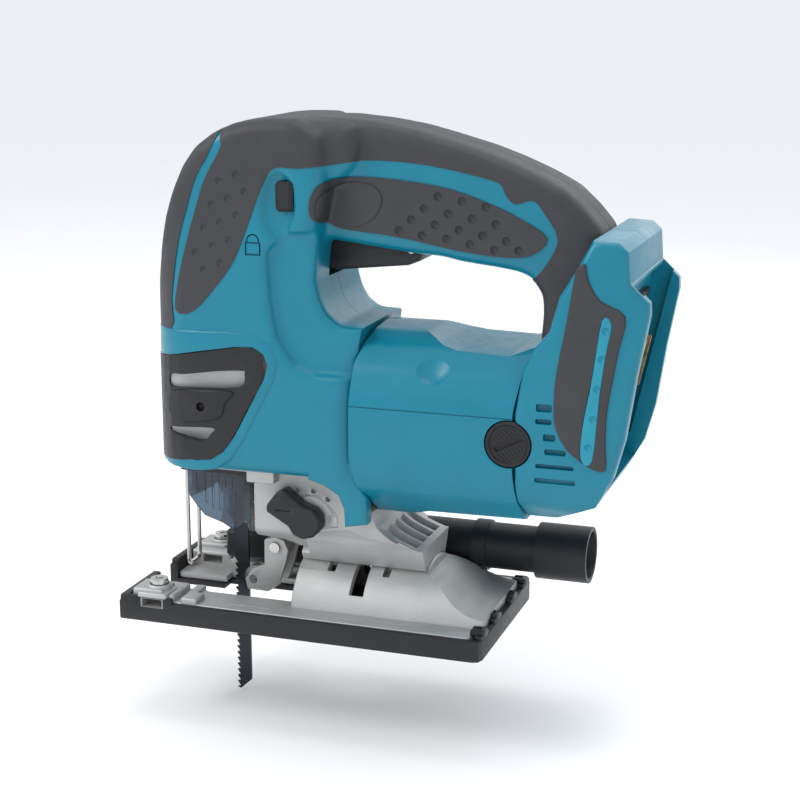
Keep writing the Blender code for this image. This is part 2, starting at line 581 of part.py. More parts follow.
# ---------------------------------------------------------------- gear train and blade drive
def gear_outline(teeth, phase, centre_y, centre_z):
    """Straight-flanked spur teeth with backlash, starting at a phase angle measured from +Z towards +Y."""
    pitch = GEAR_MODULE * teeth / 2
    tip = pitch + 0.85 * GEAR_MODULE
    root = pitch - 1.15 * GEAR_MODULE
    step = 2 * math.pi / teeth
    pitch_half = 0.215 * step
    slope = math.tan(math.radians(20))
    tip_half = pitch_half - (tip - pitch) * slope / pitch
    root_half = pitch_half + (pitch - root) * slope / pitch
    points = []
    for k in range(teeth):
        middle = phase + k * step
        for radius, turn in ((root, -root_half), (tip, -tip_half), (tip, tip_half), (root, root_half)):
            angle = middle + turn
            points.append((centre_y + radius * math.sin(angle), centre_z + radius * math.cos(angle)))
    return points


def gear_axis_z():
    return MOTOR_Z + GEAR_MODULE * (PINION_TEETH + GEAR_TEETH) / 2


def add_gear():
    """Driven gear with its crank pin and counterweight, turning on a fixed shaft."""
    z = gear_axis_z()
    pivot = (0, 0, z)
    low, high = GEAR_X - GEAR_WIDTH / 2, GEAR_X + GEAR_WIDTH / 2
    half_tooth = math.pi / GEAR_TEETH
    wheel = plate("gear", gear_outline(GEAR_TEETH, math.pi + half_tooth, 0.0, z), "X", low, high)
    cut(wheel, rod("bore", "X", (0, z), low - 0.01, high + 0.01, GEAR_SHAFT_RADIUS + RUN, 24))
    join(wheel, rod("crank_pin", "X", (STROKE / 2, z), low - 6.3 * MM, low + 1 * MM, 3.0 * MM, 16))
    finish(wheel, "drive_gear", "steel", pivot)
    weight = rod("weight", "X", (0, z), low - 4.2 * MM, low - GAP, 15 * MM, 32)
    cut(weight, box("flat", (-0.1, 0.0, 0.0), (0.1, 0.05, 0.3)),
        rod("bore", "X", (0, z), -0.1, 0.1, GEAR_SHAFT_RADIUS + RUN, 24))
    finish(weight, "counterweight", "cast", pivot)
    finish(rod("shaft", "X", (0, z), low - 4.0 * MM, 1.7 * MM, GEAR_SHAFT_RADIUS, 24), "gear_shaft", "steel")


GEAR_SHAFT_RADIUS = 4.0 * MM


def add_blade_drive():
    """Ram with its crosshead, the swinging guide it runs in, the blade clamp and the blade."""
    pivot = (RAM_X, 0, GUIDE_PIVOT_Z)
    z = gear_axis_z()
    guide = tube("guide", "Z", (RAM_X, 0), GUIDE_PIVOT_Z - 6 * MM, GUIDE_PIVOT_Z + 6 * MM, 8.4 * MM,
                 RAM_RADIUS + RUN)
    lower = tube("lower", "Z", (RAM_X, 0), 69 * MM, 78 * MM, 8.4 * MM, RAM_RADIUS + RUN)
    join(guide, lower)
    for side in (-1, 1):
        low, high = sorted((side * 6.8 * MM, side * 9.6 * MM))
        join(guide, box("bar", (RAM_X - 4 * MM, low, 70 * MM), (RAM_X + 4 * MM, high, GUIDE_PIVOT_Z + 5 * MM)))
    join(guide, rod("trunnion", "Y", (RAM_X, GUIDE_PIVOT_Z), -13 * MM, -9 * MM, 3 * MM, 16),
         rod("trunnion", "Y", (RAM_X, GUIDE_PIVOT_Z), 9 * MM, 13 * MM, 3 * MM, 16))
    finish(guide, "ram_guide", "cast", pivot)

    ram = rod("ram", "Z", (RAM_X, 0), RAM_BOTTOM_Z, GUIDE_PIVOT_Z + 20 * MM, RAM_RADIUS, 24)
    yoke_front = GEAR_X - GEAR_WIDTH / 2 - 12.6 * MM
    yoke_rear = GEAR_X - GEAR_WIDTH / 2 - 6.6 * MM
    yoke = box("yoke", (yoke_front, -STROKE / 2 - 5 * MM, z - 7 * MM), (yoke_rear, STROKE / 2 + 5 * MM, z + 7 * MM))
    web = box("web", (RAM_X, -3.6 * MM, z - 6 * MM), (yoke_front + 1 * MM, 3.6 * MM, z + 6 * MM))
    slot = box("slot", (yoke_rear - 3 * MM, -STROKE / 2 - 3.6 * MM, z - 3.4 * MM),
               (yoke_rear + 1 * MM, STROKE / 2 + 3.6 * MM, z + 3.4 * MM))
    finish(join(ram, web, cut(yoke, slot)), "ram", "steel", (RAM_X, 0, RAM_BOTTOM_Z))

    clamp = tube("clamp", "Z", (RAM_X, 0), RAM_BOTTOM_Z - 15 * MM, RAM_BOTTOM_Z + 5 * MM, 7.6 * MM,
                 RAM_RADIUS + GAP)
    blade_gap = BLADE_T / 2 + GAP
    cut(clamp, box("slit", (RAM_X - 20 * MM, -blade_gap, RAM_BOTTOM_Z - 20 * MM),
                   (RAM_X + 1.9 * MM, blade_gap, RAM_BOTTOM_Z - 4 * MM)))
    finish(clamp, "blade_clamp", "dark_steel", (RAM_X, 0, RAM_BOTTOM_Z))
    finish(plate("blade", blade_outline(), "Y", -BLADE_T / 2, BLADE_T / 2), "blade", "dark_steel",
           (RAM_X, 0, RAM_BOTTOM_Z))


def blade_outline():
    """T-shank blade seen from the side: straight back, raked teeth along the front edge."""
    back = BLADE_BACK_X
    front = back - BLADE_WIDTH
    shank_top = RAM_BOTTOM_Z - GAP
    points = [(back, shank_top), (back, BLADE_TIP_Z + 4.4 * MM), (front + 1.4 * MM, BLADE_TIP_Z)]
    pitch = 2.6 * MM
    depth = 1.5 * MM
    z = BLADE_TIP_Z + 0.6 * MM
    for _ in range(TEETH):
        points += [(front, z), (front + depth, z + 0.5 * MM)]
        z += pitch
    points += [(front, z), (front, shank_top)]
    return points


TEETH = 22


def add_retainer():
    """Roller that backs the blade, in an arm hung on a pin from the gear housing."""
    pivot = (RETAINER_PIN_X, 0, RETAINER_PIN_Z)
    roller_x = BLADE_BACK_X + GAP + ROLLER_RADIUS - 0.7 * MM
    arm = cut(plate("arm", millimetres(RETAINER_ARM), "Y", -7 * MM, 7 * MM, 0.0),
              box("fork", (-50 * MM, -4.5 * MM, 0), (0, 4.5 * MM, 50 * MM)))
    bridge = box("bridge", (RETAINER_PIN_X - 3.8 * MM, -5 * MM, 13.6 * MM),
                 (RETAINER_PIN_X - 0.2 * MM, 5 * MM, 19.4 * MM))
    join(arm, bridge)
    cut(arm, rod("eye", "Y", pivot[::2], -0.01, 0.01, RETAINER_PIN_RADIUS + RUN, 16),
        rod("eye", "Y", (roller_x, ROLLER_Z), -0.01, 0.01, 1.6 * MM + GAP / 2, 12))
    finish(arm, "blade_retainer", "cast", pivot)
    finish(rod("pin", "Y", pivot[::2], -8 * MM, 8 * MM, RETAINER_PIN_RADIUS, 16), "retainer_pin", "steel")
    roller = tube("roller", "Y", (roller_x, ROLLER_Z), -4 * MM, 4 * MM, ROLLER_RADIUS, 1.6 * MM + RUN, 32)
    groove = tube("groove", "Y", (roller_x, ROLLER_Z), -BLADE_T / 2 - GAP, BLADE_T / 2 + GAP,
                  ROLLER_RADIUS + 1 * MM, ROLLER_RADIUS - 0.7 * MM, 32)
    finish(cut(roller, groove), "blade_roller", "steel", (roller_x, 0, ROLLER_Z))
    finish(rod("pin", "Y", (roller_x, ROLLER_Z), -7.2 * MM, 7.2 * MM, 1.6 * MM, 12), "roller_pin", "steel", pivot)


# ---------------------------------------------------------------- gear housing and what hangs on it
def add_gear_housing():
    """Cast housing: hollow nose round the ram, gear case, side walls and the dovetail foot."""
    nose = plate("nose", nose_ring(0.0), "Z", 58 * MM, OPENER_TOP_Z, 0.8 * MM)
    crown = gear_axis_z() + GEAR_MODULE * (GEAR_TEETH / 2 + 1) + 1 * MM
    case = box("case", (-22 * MM, -23.4 * MM, 66.8 * MM), (1.2 * MM, 23.4 * MM, crown + 2.4 * MM), 3 * MM)
    neck = box("neck", (0, -23.4 * MM, 66.8 * MM), (14 * MM, 23.4 * MM, 108 * MM), 3 * MM)
    wall = plate("wall", millimetres(HOUSING_WALL), "Y", -20 * MM, 20 * MM, 1 * MM)
    z = gear_axis_z()
    foot = plate("foot", foot_section(), "X", FOOT_FRONT_X, FOOT_REAR_X)
    lug = box("lug", (RETAINER_PIN_X - 3.6 * MM, -4.1 * MM, 22 * MM), (RETAINER_PIN_X + 4.4 * MM, 4.1 * MM,
                                                                    36 * MM), 1 * MM)
    body = join(nose, case, neck, wall, foot, lug)
    channel = box("channel", (-57 * MM, -12.6 * MM, 0.03), (-26.6 * MM, 12.6 * MM, 0.09))
    cavity = box("cavity", (-59 * MM, -21.6 * MM, 72 * MM), (-2 * MM, 21.6 * MM, crown))
    fan_side = rod("fan_side", "X", (0, MOTOR_Z), -3 * MM, 30 * MM, SHAFT_RADIUS + 2 * MM, 24)
    seat = rod("seat", "X", (0, MOTOR_Z), 2.7 * MM, 30 * MM, BEARING_RADIUS + GAP, 24)
    shaft = rod("shaft", "X", (0, z), -4 * MM, 1.9 * MM + GAP, GEAR_SHAFT_RADIUS + GAP, 24)
    pin = rod("pin", "Y", (RETAINER_PIN_X, RETAINER_PIN_Z), -0.02, 0.02, RETAINER_PIN_RADIUS + GAP, 16)
    lever = rod("lever", "Y", (LEVER_X, LEVER_Z), -0.03, -5 * MM, LEVER_SHAFT_RADIUS + RUN, 24)
    bolt = rod("bolt", "Z", (TILT_BOLT_X, 0), 0.02, 38 * MM, TILT_BOLT_RADIUS + GAP, 16)
    hollow = box("hollow", (-20 * MM, -12 * MM, 48 * MM), (12 * MM, 12 * MM, 64 * MM))
    cut(body, channel, cavity, fan_side, seat, shaft, pin, lever, bolt, hollow)
    for side in (-1, 1):
        low, high = sorted((side * 4.5 * MM, side * 30 * MM))
        cut(body, rod("wire", "Z", (GUARD_X, side * GUARD_HALF), 0.05, 66 * MM, GUARD_RADIUS + GAP, 12))
        cut(body, box("arm_room", (-40 * MM, low, 5 * MM), (-14 * MM, high, 31 * MM)))
    relief = box("relief", (-26 * MM, -SOLE_WIDTH, -1 * MM),
                 (FOOT_FRONT_X + 3.4 * MM, COVER_WALL + STRIP_WIDTH + GAP - SOLE_WIDTH / 2 - 1 * MM, STRIP_Z + 0.8 * MM))
    relief.data.transform(Matrix.Rotation(-TILT_RANGE, 4, "X"))
    cut(body, relief)
    finish(body, "gear_housing", "cast")


HOUSING_WALL = [(-24, 38.4), (-23.5, 34.2), (-12, 33), (-6.6, 30), (0, 38), (16, 40.5), (24, 37.4), (34, 36.8),
                (46, 39), (40, 44.6), (24, 50.2), (20, 58), (14, 68), (-24, 68)]
GUARD_X = -60.0 * MM
GUARD_HALF = 5.0 * MM
GUARD_RADIUS = 0.9 * MM


def foot_section():
    """Dovetail in the YZ plane: an arc that rides on the base's hump, with flanks on radial lines."""
    inner = HUMP_RADIUS + GAP
    steps = 10
    points = []
    for k in range(steps + 1):
        angle = -FOOT_HALF_ANGLE + 2 * FOOT_HALF_ANGLE * k / steps
        points.append((inner * math.sin(angle), inner * math.cos(angle)))
    top = 46 * MM
    points += [(17.6 * MM, 17.6 * MM / math.tan(FOOT_HALF_ANGLE)), (17.6 * MM, top), (-17.6 * MM, top),
               (-17.6 * MM, 17.6 * MM / math.tan(FOOT_HALF_ANGLE))]
    return points


def add_wire_guard():
    """Bent steel wire in front of the blade."""
    curve = bpy.data.curves.new("wire", "CURVE")
    curve.dimensions = "3D"
    curve.bevel_depth = GUARD_RADIUS
    curve.bevel_resolution = 2
    curve.use_fill_caps = True
    spline = curve.splines.new("POLY")
    bottom = 14.0 * MM
    bend = 2.2 * MM
    points = [(GUARD_X, -GUARD_HALF, 65 * MM)]
    for k in range(5):
        angle = math.pi / 2 * k / 4
        points.append((GUARD_X, -GUARD_HALF + bend * (1 - math.cos(angle)), bottom + bend * (1 - math.sin(angle))))
    points += [(x, -y, z) for x, y, z in reversed(points)]
    spline.points.add(len(points) - 1)
    for point, place in zip(spline.points, points):
        point.co = (*place, 1)
    guide = link("wire", curve)
    wire = link("wire", clean(evaluated_mesh(guide)))
    bpy.data.objects.remove(guide)
    finish(wire, "wire_guard", "steel")


def add_orbit_lever():
    pivot = (LEVER_X, -20 * MM, LEVER_Z)
    knob = plate("lever", millimetres(LEVER), "Y", -27.6 * MM, -20.4 * MM, 0.8 * MM)
    finish(knob, "orbit_lever", "black", pivot)
    shaft = rod("shaft", "Y", (LEVER_X, LEVER_Z), -20.1 * MM, -7 * MM, LEVER_SHAFT_RADIUS, 24)
    cut(shaft, box("flat", (-0.02, -12 * MM, LEVER_Z + 1.6 * MM), (0.02, 0, 0.06)))
    finish(shaft, "orbit_shaft", "steel", pivot)


def nose_ring(offset):
    """Plan outline round the gear housing's nose at a distance."""
    front = CORE_FRONT_X - offset
    half = CORE_HALF + offset
    corner = 8 * MM + offset
    return [(NOSE_REAR_X, -half), (front + corner, -half), (front, -half + corner), (front, half - corner),
            (front + corner, half), (NOSE_REAR_X, half)]


NOSE_REAR_X = -13.0 * MM


def add_opener():
    """Blade-release lever: a band round the nose, hinged on an upright pin at the right."""
    pivot = (OPENER_PIN_X, CORE_HALF + 2.9 * MM, 0)
    band = plate("band", nose_ring(GAP + OPENER_T), "Z", OPENER_BOTTOM_Z, OPENER_TOP_Z, 1.2 * MM)
    cut(band, plate("inner", nose_ring(GAP), "Z", 0.05, 0.12))
    keep(band, plate("side", millimetres(OPENER), "Y", -0.05, 0.05))
    for window in OPENER_WINDOWS:
        cut(band, plate("window", millimetres(window), "Y", -0.05, 0))
    cut(band, box("right", (OPENER_PIN_X + 0.2 * MM, 0, 0.05), (0.02, 0.06, 0.13)))
    barrel = rod("barrel", "Z", pivot[:2], 74 * MM, 98 * MM, 2.5 * MM, 16)
    join(band, barrel)
    cut(band, rod("eye", "Z", pivot[:2], 0.05, 0.12, 1.2 * MM + RUN, 12))
    finish(band, "blade_release_lever", "black", pivot)
    pin = rod("pin", "Z", pivot[:2], 70.4 * MM, 101.6 * MM, 1.2 * MM, 12)
    finish(pin, "release_pin", "steel")


def add_chip_cover():
    """Clear cover round the blade: an open-backed channel that slides up under the nose."""
    side = plate("cover", millimetres(CHIP_COVER), "Y", -12.2 * MM, 12.2 * MM)
    cut(side, box("inside", (-55 * MM, -10.9 * MM, 0), (0, 10.9 * MM, 0.1)))
    finish(side, "chip_cover", "clear", (-42 * MM, 0, 50 * MM))


# ---------------------------------------------------------------- base
def add_base():
    """Cast base plate with its hump, in a plastic sole cover, with the rip-fence clamp screws."""
    half_length = SOLE_LENGTH / 2
    half_width = SOLE_WIDTH / 2
    cover = box("cover", (-half_length, -half_width, 0), (half_length, half_width, COVER_HEIGHT))
    inner_half = half_width - COVER_WALL
    cut(cover, box("tray", (-0.2, -inner_half, COVER_T), (half_length - COVER_WALL, inner_half, 0.1)))
    slot = box("slot", (-0.2, -SLOT_HALF, -0.1), (WINDOW_FRONT_X + 1 * MM, SLOT_HALF, 0.1))
    window = box("window", (WINDOW_FRONT_X, -WINDOW_HALF + 2 * MM, -0.1), (WINDOW_REAR_X, WINDOW_HALF - 2 * MM, 0.1))
    access = box("access", (TILT_BOLT_X - 6 * MM, -12 * MM, -0.1), (TILT_BOLT_X + 6 * MM, 12 * MM, 0.1))
    cut(cover, slot, window, access)
    for side in (-1, 1):
        low, high = sorted((side * 20 * MM, side * 0.1))
        cut(cover, box("fence", (FENCE_X - 4.9 * MM, low, FENCE_Z - 1.9 * MM), (FENCE_X + 4.9 * MM, high,
                                                                            FENCE_Z + 1.9 * MM)))
    finish(cover, "sole_cover", "black")

    floor_z = COVER_T + GAP
    top = floor_z + PLATE_T
    edge = inner_half - GAP
    rear = half_length - COVER_WALL - GAP
    front = -half_length + 0.6 * MM
    base = box("base", (front, -edge, floor_z), (rear, edge, top))
    for side in (-1, 1):
        inner = edge - STRIP_WIDTH
        section = [(side * y, z) for y, z in ((inner, top - 1 * MM), (inner + 1.6 * MM, 9.4 * MM),
                                               (edge, STRIP_Z), (edge, top - 1 * MM))]
        join(base, plate("strip", section, "X", -52 * MM, rear - 5 * MM))
        wide_inner = edge - 15.4 * MM
        low, high = sorted((side * wide_inner, side * edge))
        join(base, box("fence_block", (front, low, floor_z), (-51 * MM, high, STRIP_Z), 0.6 * MM))
        y = side * (edge - FENCE_SCREW_INSET)
        join(base, rod("boss", "Z", (FENCE_X, y), top, STRIP_Z + 1.6 * MM, 4.4 * MM, 16))
    hump = rod("hump", "X", (0, 0), FOOT_FRONT_X - 0.6 * MM, FOOT_REAR_X + 0.8 * MM, HUMP_RADIUS, 64)
    cut(hump, box("under", (-0.1, -0.05, -0.05), (0.1, 0.05, floor_z)))
    ramp = plate("ramp", millimetres(RAMP), "Y", -16 * MM, 16 * MM, 0.0)
    join(base, hump, ramp)
    bore = rod("bore", "X", (0, 0), FOOT_FRONT_X + 3 * MM, FOOT_REAR_X - 3 * MM, HUMP_RADIUS - HUMP_WALL, 48)
    swing = HUMP_RADIUS * math.sin(TILT_RANGE) + TILT_BOLT_RADIUS + 1 * MM
    arc = box("arc", (TILT_BOLT_X - TILT_BOLT_RADIUS - 0.4 * MM, -swing, 8 * MM),
              (TILT_BOLT_X + TILT_BOLT_RADIUS + 0.4 * MM, 20 * MM, 40 * MM))
    front_slot = box("slot", (-0.2, -SLOT_HALF - GAP, -0.1), (WINDOW_FRONT_X + 1 * MM, SLOT_HALF + GAP, 0.1))
    window = box("window", (WINDOW_FRONT_X, -WINDOW_HALF, -0.1), (WINDOW_REAR_X, WINDOW_HALF, 0.1))
    cut(base, bore, arc, front_slot, window)
    for side in (-1, 1):
        low, high = sorted((side * 8 * MM, side * 0.1))
        cut(base, box("fence", (FENCE_X - 4.6 * MM, low, FENCE_Z - 1.6 * MM), (FENCE_X + 4.6 * MM, high,
                                                                           FENCE_Z + 1.6 * MM)))
        y = side * (edge - FENCE_SCREW_INSET)
        cut(base, rod("thread", "Z", (FENCE_X, y), FENCE_Z, 0.05, 2.2 * MM, 12))
    for side, name in ((-1, "left"), (1, "right")):
        y = side * (edge - FENCE_SCREW_INSET)
        shank = rod("shank", "Z", (FENCE_X, y), FENCE_Z + 2.2 * MM, STRIP_Z + 3 * MM, 1.9 * MM, 12)
        head = rod("head", "Z", (FENCE_X, y), STRIP_Z + 1.9 * MM, STRIP_Z + 5.2 * MM, 3.6 * MM, 16)
        cut(head, rod("hex", "Z", (FENCE_X, y), STRIP_Z + 3.6 * MM, 0.05, 1.8 * MM, 6))
        finish(join(shank, head), "fence_screw_" + name, "dark_steel")
    finish(base, "base_plate", "cast")

    reach = HUMP_RADIUS - HUMP_WALL
    bolt = rod("bolt", "Z", (TILT_BOLT_X, 0), reach - 4 * MM, 37 * MM, TILT_BOLT_RADIUS, 16)
    join(bolt, rod("head", "Z", (TILT_BOLT_X, 0), reach - 6.6 * MM, reach - 2.9 * MM, 4.6 * MM, 6))
    finish(bolt, "tilt_bolt", "dark_steel")
    washer = tube("washer", "Z", (TILT_BOLT_X, 0), reach - 2.6 * MM, reach - 1.3 * MM, 6.0 * MM,
                  TILT_BOLT_RADIUS + GAP)
    finish(washer, "tilt_washer", "steel")


FENCE_X = -61.0 * MM
FENCE_Z = 8.1 * MM
FENCE_SCREW_INSET = 5.2 * MM
RAMP = [(45.9, 3.4), (45.9, 23.4), (47.1, 23.3), (54, 21.1), (62.2, 16.5), (70.5, 12.5), (70.5, 3.4)]


def add_nozzle():
    """Dust nozzle along the right of the base, from a mouth beside the blade to its open rear end."""
    axis = (NOZZLE_Y, NOZZLE_Z)
    body = rod("tube", "X", axis, -14 * MM, NOZZLE_REAR_X - 21 * MM, NOZZLE_RADIUS, 24)
    join(body, rod("ring", "X", axis, NOZZLE_REAR_X - 21.5 * MM, NOZZLE_REAR_X, NOZZLE_RADIUS + 2 * MM, 24),
         rod("collar", "X", axis, 54 * MM, 60 * MM, NOZZLE_RADIUS + 0.9 * MM, 24))
    funnel = box("funnel", (MOUTH_X, MOUTH_INNER_Y, 13.6 * MM), (-12 * MM, NOZZLE_Y + 7 * MM, 25.6 * MM), 1.2 * MM)
    join(body, funnel)
    edge = SOLE_WIDTH / 2 - COVER_WALL - GAP
    strip_inner = edge - STRIP_WIDTH
    hook = box("hook", (54.6 * MM, strip_inner - 8 * MM, COVER_T + PLATE_T + 2 * GAP),
               (59.4 * MM, strip_inner - 2 * MM, 18 * MM))
    join(body, hook)
    wall = NOZZLE_WALL
    cut(body, rod("bore", "X", axis, -20 * MM, NOZZLE_REAR_X - 20 * MM, NOZZLE_RADIUS - wall, 24),
        rod("socket", "X", axis, NOZZLE_REAR_X - 20.5 * MM, NOZZLE_REAR_X + 1 * MM, NOZZLE_RADIUS + 0.2 * MM, 24),
        box("mouth", (MOUTH_X - 1 * MM, MOUTH_INNER_Y + wall, 13.6 * MM + wall),
            (-13 * MM, NOZZLE_Y + 7 * MM - wall, 25.6 * MM - wall)))
    finish(body, "dust_nozzle", "black")


MOUTH_X = -50.0 * MM
MOUTH_INNER_Y = 9.2 * MM


# ---------------------------------------------------------------- handle controls and battery terminal
def add_controls():
    """Trigger on its rear pivot, the switch it presses, and the cross button that locks it off."""
    px, pz = body_point(TRIGGER_PIVOT_X / MM, TRIGGER_PIVOT_Z / MM)
    trigger = plate("trigger", body_outline(TRIGGER), "Y", -TRIGGER_HALF, TRIGGER_HALF, 1.4 * MM)
    cut(trigger, rod("eye", "Y", (px, pz), -0.02, 0.02, 1.5 * MM + RUN, 12))
    finish(trigger, "trigger", "black", (px, 0, pz))
    finish(rod("pin", "Y", (px, pz), -TRIGGER_HALF - 3 * MM, TRIGGER_HALF + 3 * MM, 1.5 * MM, 12), "trigger_pin",
           "steel")
    x, z = body_point(20, 171)
    switch = box("switch", (x - 14 * MM, -8 * MM, z - 6 * MM), (x + 16 * MM, 8 * MM, z + 7 * MM), 0.8 * MM)
    finish(switch, "switch_body", "black")
    x, z = body_point(*LOCK_BUTTON)
    bar = box("button", (x - 3.5 * MM, -HEAD_HALF - 0.6 * MM, z - 5.7 * MM), (x + 3.5 * MM, HEAD_HALF - 3.4 * MM,
                                                                      z + 5.7 * MM), 1.2 * MM)
    finish(bar, "lock_button", "black", (x, 0, z))


def add_terminal():
    """Terminal block on the floor of the battery slide, with its contact blades."""
    floor = -SLIDE_DEPTH
    block = leaning_box("block", (floor + GAP, -15 * MM, 26 * MM), (floor + 7 * MM, 15 * MM, 46 * MM), 0.6 * MM)
    join(block, leaning_box("plate", (floor + GAP, -19 * MM, 24 * MM), (floor + 2 * MM, 19 * MM, 76 * MM)))
    bus = leaning_box("bus", (floor + 2.3 * MM, -11 * MM, 54 * MM), (floor + 3.7 * MM, 11 * MM, 60 * MM))
    for y in (-10, 0, 10):
        low, high = (y - 0.5) * MM, (y + 0.5) * MM
        slit = leaning_box("slit", (floor + 3 * MM, low - GAP, 40 * MM), (floor + 8 * MM, high + GAP, 50 * MM))
        cut(block, slit)
        join(bus, leaning_box("blade", (floor + 3.3 * MM, low, 40.3 * MM), (floor + 8.3 * MM, high, 60.2 * MM)))
    finish(block, "terminal_block", "black")
    finish(bus, "terminal_blades", "brass")


for existing in list(bpy.data.objects):
    bpy.data.objects.remove(existing)
SAW = bpy.data.collections.new("jigsaw")
WORKBENCH = bpy.data.collections.new("workbench")
bpy.context.scene.collection.children.link(SAW)
bpy.context.scene.collection.children.link(WORKBENCH)
add_casing()
add_housing_screws()
add_motor()
add_gear()
add_blade_drive()
add_retainer()
add_gear_housing()
add_wire_guard()
add_orbit_lever()
add_opener()
add_chip_cover()
add_base()
add_nozzle()
add_controls()
add_terminal()
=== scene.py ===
"""Visual model of a cordless top-handle jigsaw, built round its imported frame.

Lengths are in millimetres in the drawings below and become metres through MM. The frame has +X to the
rear, +Z up and -Y on the tool's left; its origin is on the sole's underside, in the plane of the blade.
"""

import logging
import math
from collections.abc import Callable, Iterable, Sequence
from dataclasses import dataclass, field
from enum import Enum

import bmesh
import bpy
from mathutils import Matrix, Vector


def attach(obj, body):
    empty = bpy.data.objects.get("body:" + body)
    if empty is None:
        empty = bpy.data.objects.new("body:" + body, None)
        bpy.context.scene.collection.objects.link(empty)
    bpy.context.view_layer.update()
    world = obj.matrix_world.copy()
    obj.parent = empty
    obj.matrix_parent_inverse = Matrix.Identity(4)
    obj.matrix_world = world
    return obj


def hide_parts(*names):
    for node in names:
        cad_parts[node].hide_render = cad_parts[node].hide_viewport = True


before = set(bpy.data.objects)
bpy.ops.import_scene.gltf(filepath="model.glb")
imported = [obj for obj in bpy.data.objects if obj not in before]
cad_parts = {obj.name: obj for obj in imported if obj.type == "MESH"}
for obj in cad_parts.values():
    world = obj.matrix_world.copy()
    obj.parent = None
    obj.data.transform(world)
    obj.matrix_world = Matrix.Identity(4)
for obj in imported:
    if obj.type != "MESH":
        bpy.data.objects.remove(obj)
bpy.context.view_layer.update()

MM = 0.001
SENSOR_WIDTH = 36.0
LOG = logging.getLogger("jigsaw")

Point2 = tuple[float, float]
Point3 = tuple[float, float, float]

SIDES = ((-1, "left"), (1, "right"))
FAR = 60                            # beyond either side of the saw
MOTOR_Z = 84.8                      # height of the motor's axis
CAP_X = 83.3                        # brush caps
CAP_HOLE = 9.1
SEAM_Z = (94.0, 94.45)              # groove along the barrel
TRIGGER_SLOT: tuple[Point3, Point3] = ((-4, -9.3, 139), (44, 9.3, 168))
LOCK_BUTTON = (-5.5, 171, 3.9, 6.1)
SLIDE_FOOT: Point3 = (118.2, 0, 60)  # where the battery slide starts, and its lean
SLIDE_LEAN = 12.6
HINGE_GAP = (-49.8, -49.3)          # between the release band and the cover behind its hinge
LEVER_PIVOT: Point2 = (0.6, 44.3)
FOOT_RIBS: tuple[Point2, ...] = ((-14.8, -8.6), (-6.8, -0.6), (0.6, 6.8), (8.6, 14.8))
DETENTS: tuple[Point2, ...] = ((-5.2, 55), (1.6, 55.4), (7.6, 52.6))
COVER_GROOVES: tuple[Point2, ...] = (
    (-52.4, 9), (-48.6, 14), (-45.6, 16), (-42.6, 16.6), (-39.6, 17), (-36.6, 18))
SCALE_LINES: tuple[Point3, ...] = ((-32, -13, 30.6), (15, 27, 31.4), (30, 46, 30.2), (52, 56, 31.4))
VENTS: tuple[tuple[float, float, float, float], ...] = (
    (93.6, 99.5, 98, 101), (93.4, 99.5, 93.4, 95.4), (96.4, 101, 87.3, 89.9), (97, 105, 82.2, 84.4),
    (93.7, 108, 76.9, 78.6), (93.3, 108.6, 71.2, 73.2))


def span(side: int, near: float, far: float) -> tuple[float, float]:
    """Two distances from the middle plane as places on one side, the lower first."""
    return (near, far) if side > 0 else (-far, -near)


def coat(mesh: bpy.types.Mesh, finish: "Finish") -> None:
    """Give a whole mesh one finish."""
    mesh.materials.clear()
    mesh.materials.append(finish.material())
    for face in mesh.polygons:
        face.material_index = 0


# ------------------------------------------------------------------------------------------------ finishes
class Grain(Enum):
    """Kinds of surface relief."""

    MOULDED = "moulded"
    RUBBER = "rubber"
    CAST = "cast"
    GROUND = "ground"
    BRUSHED = "brushed"


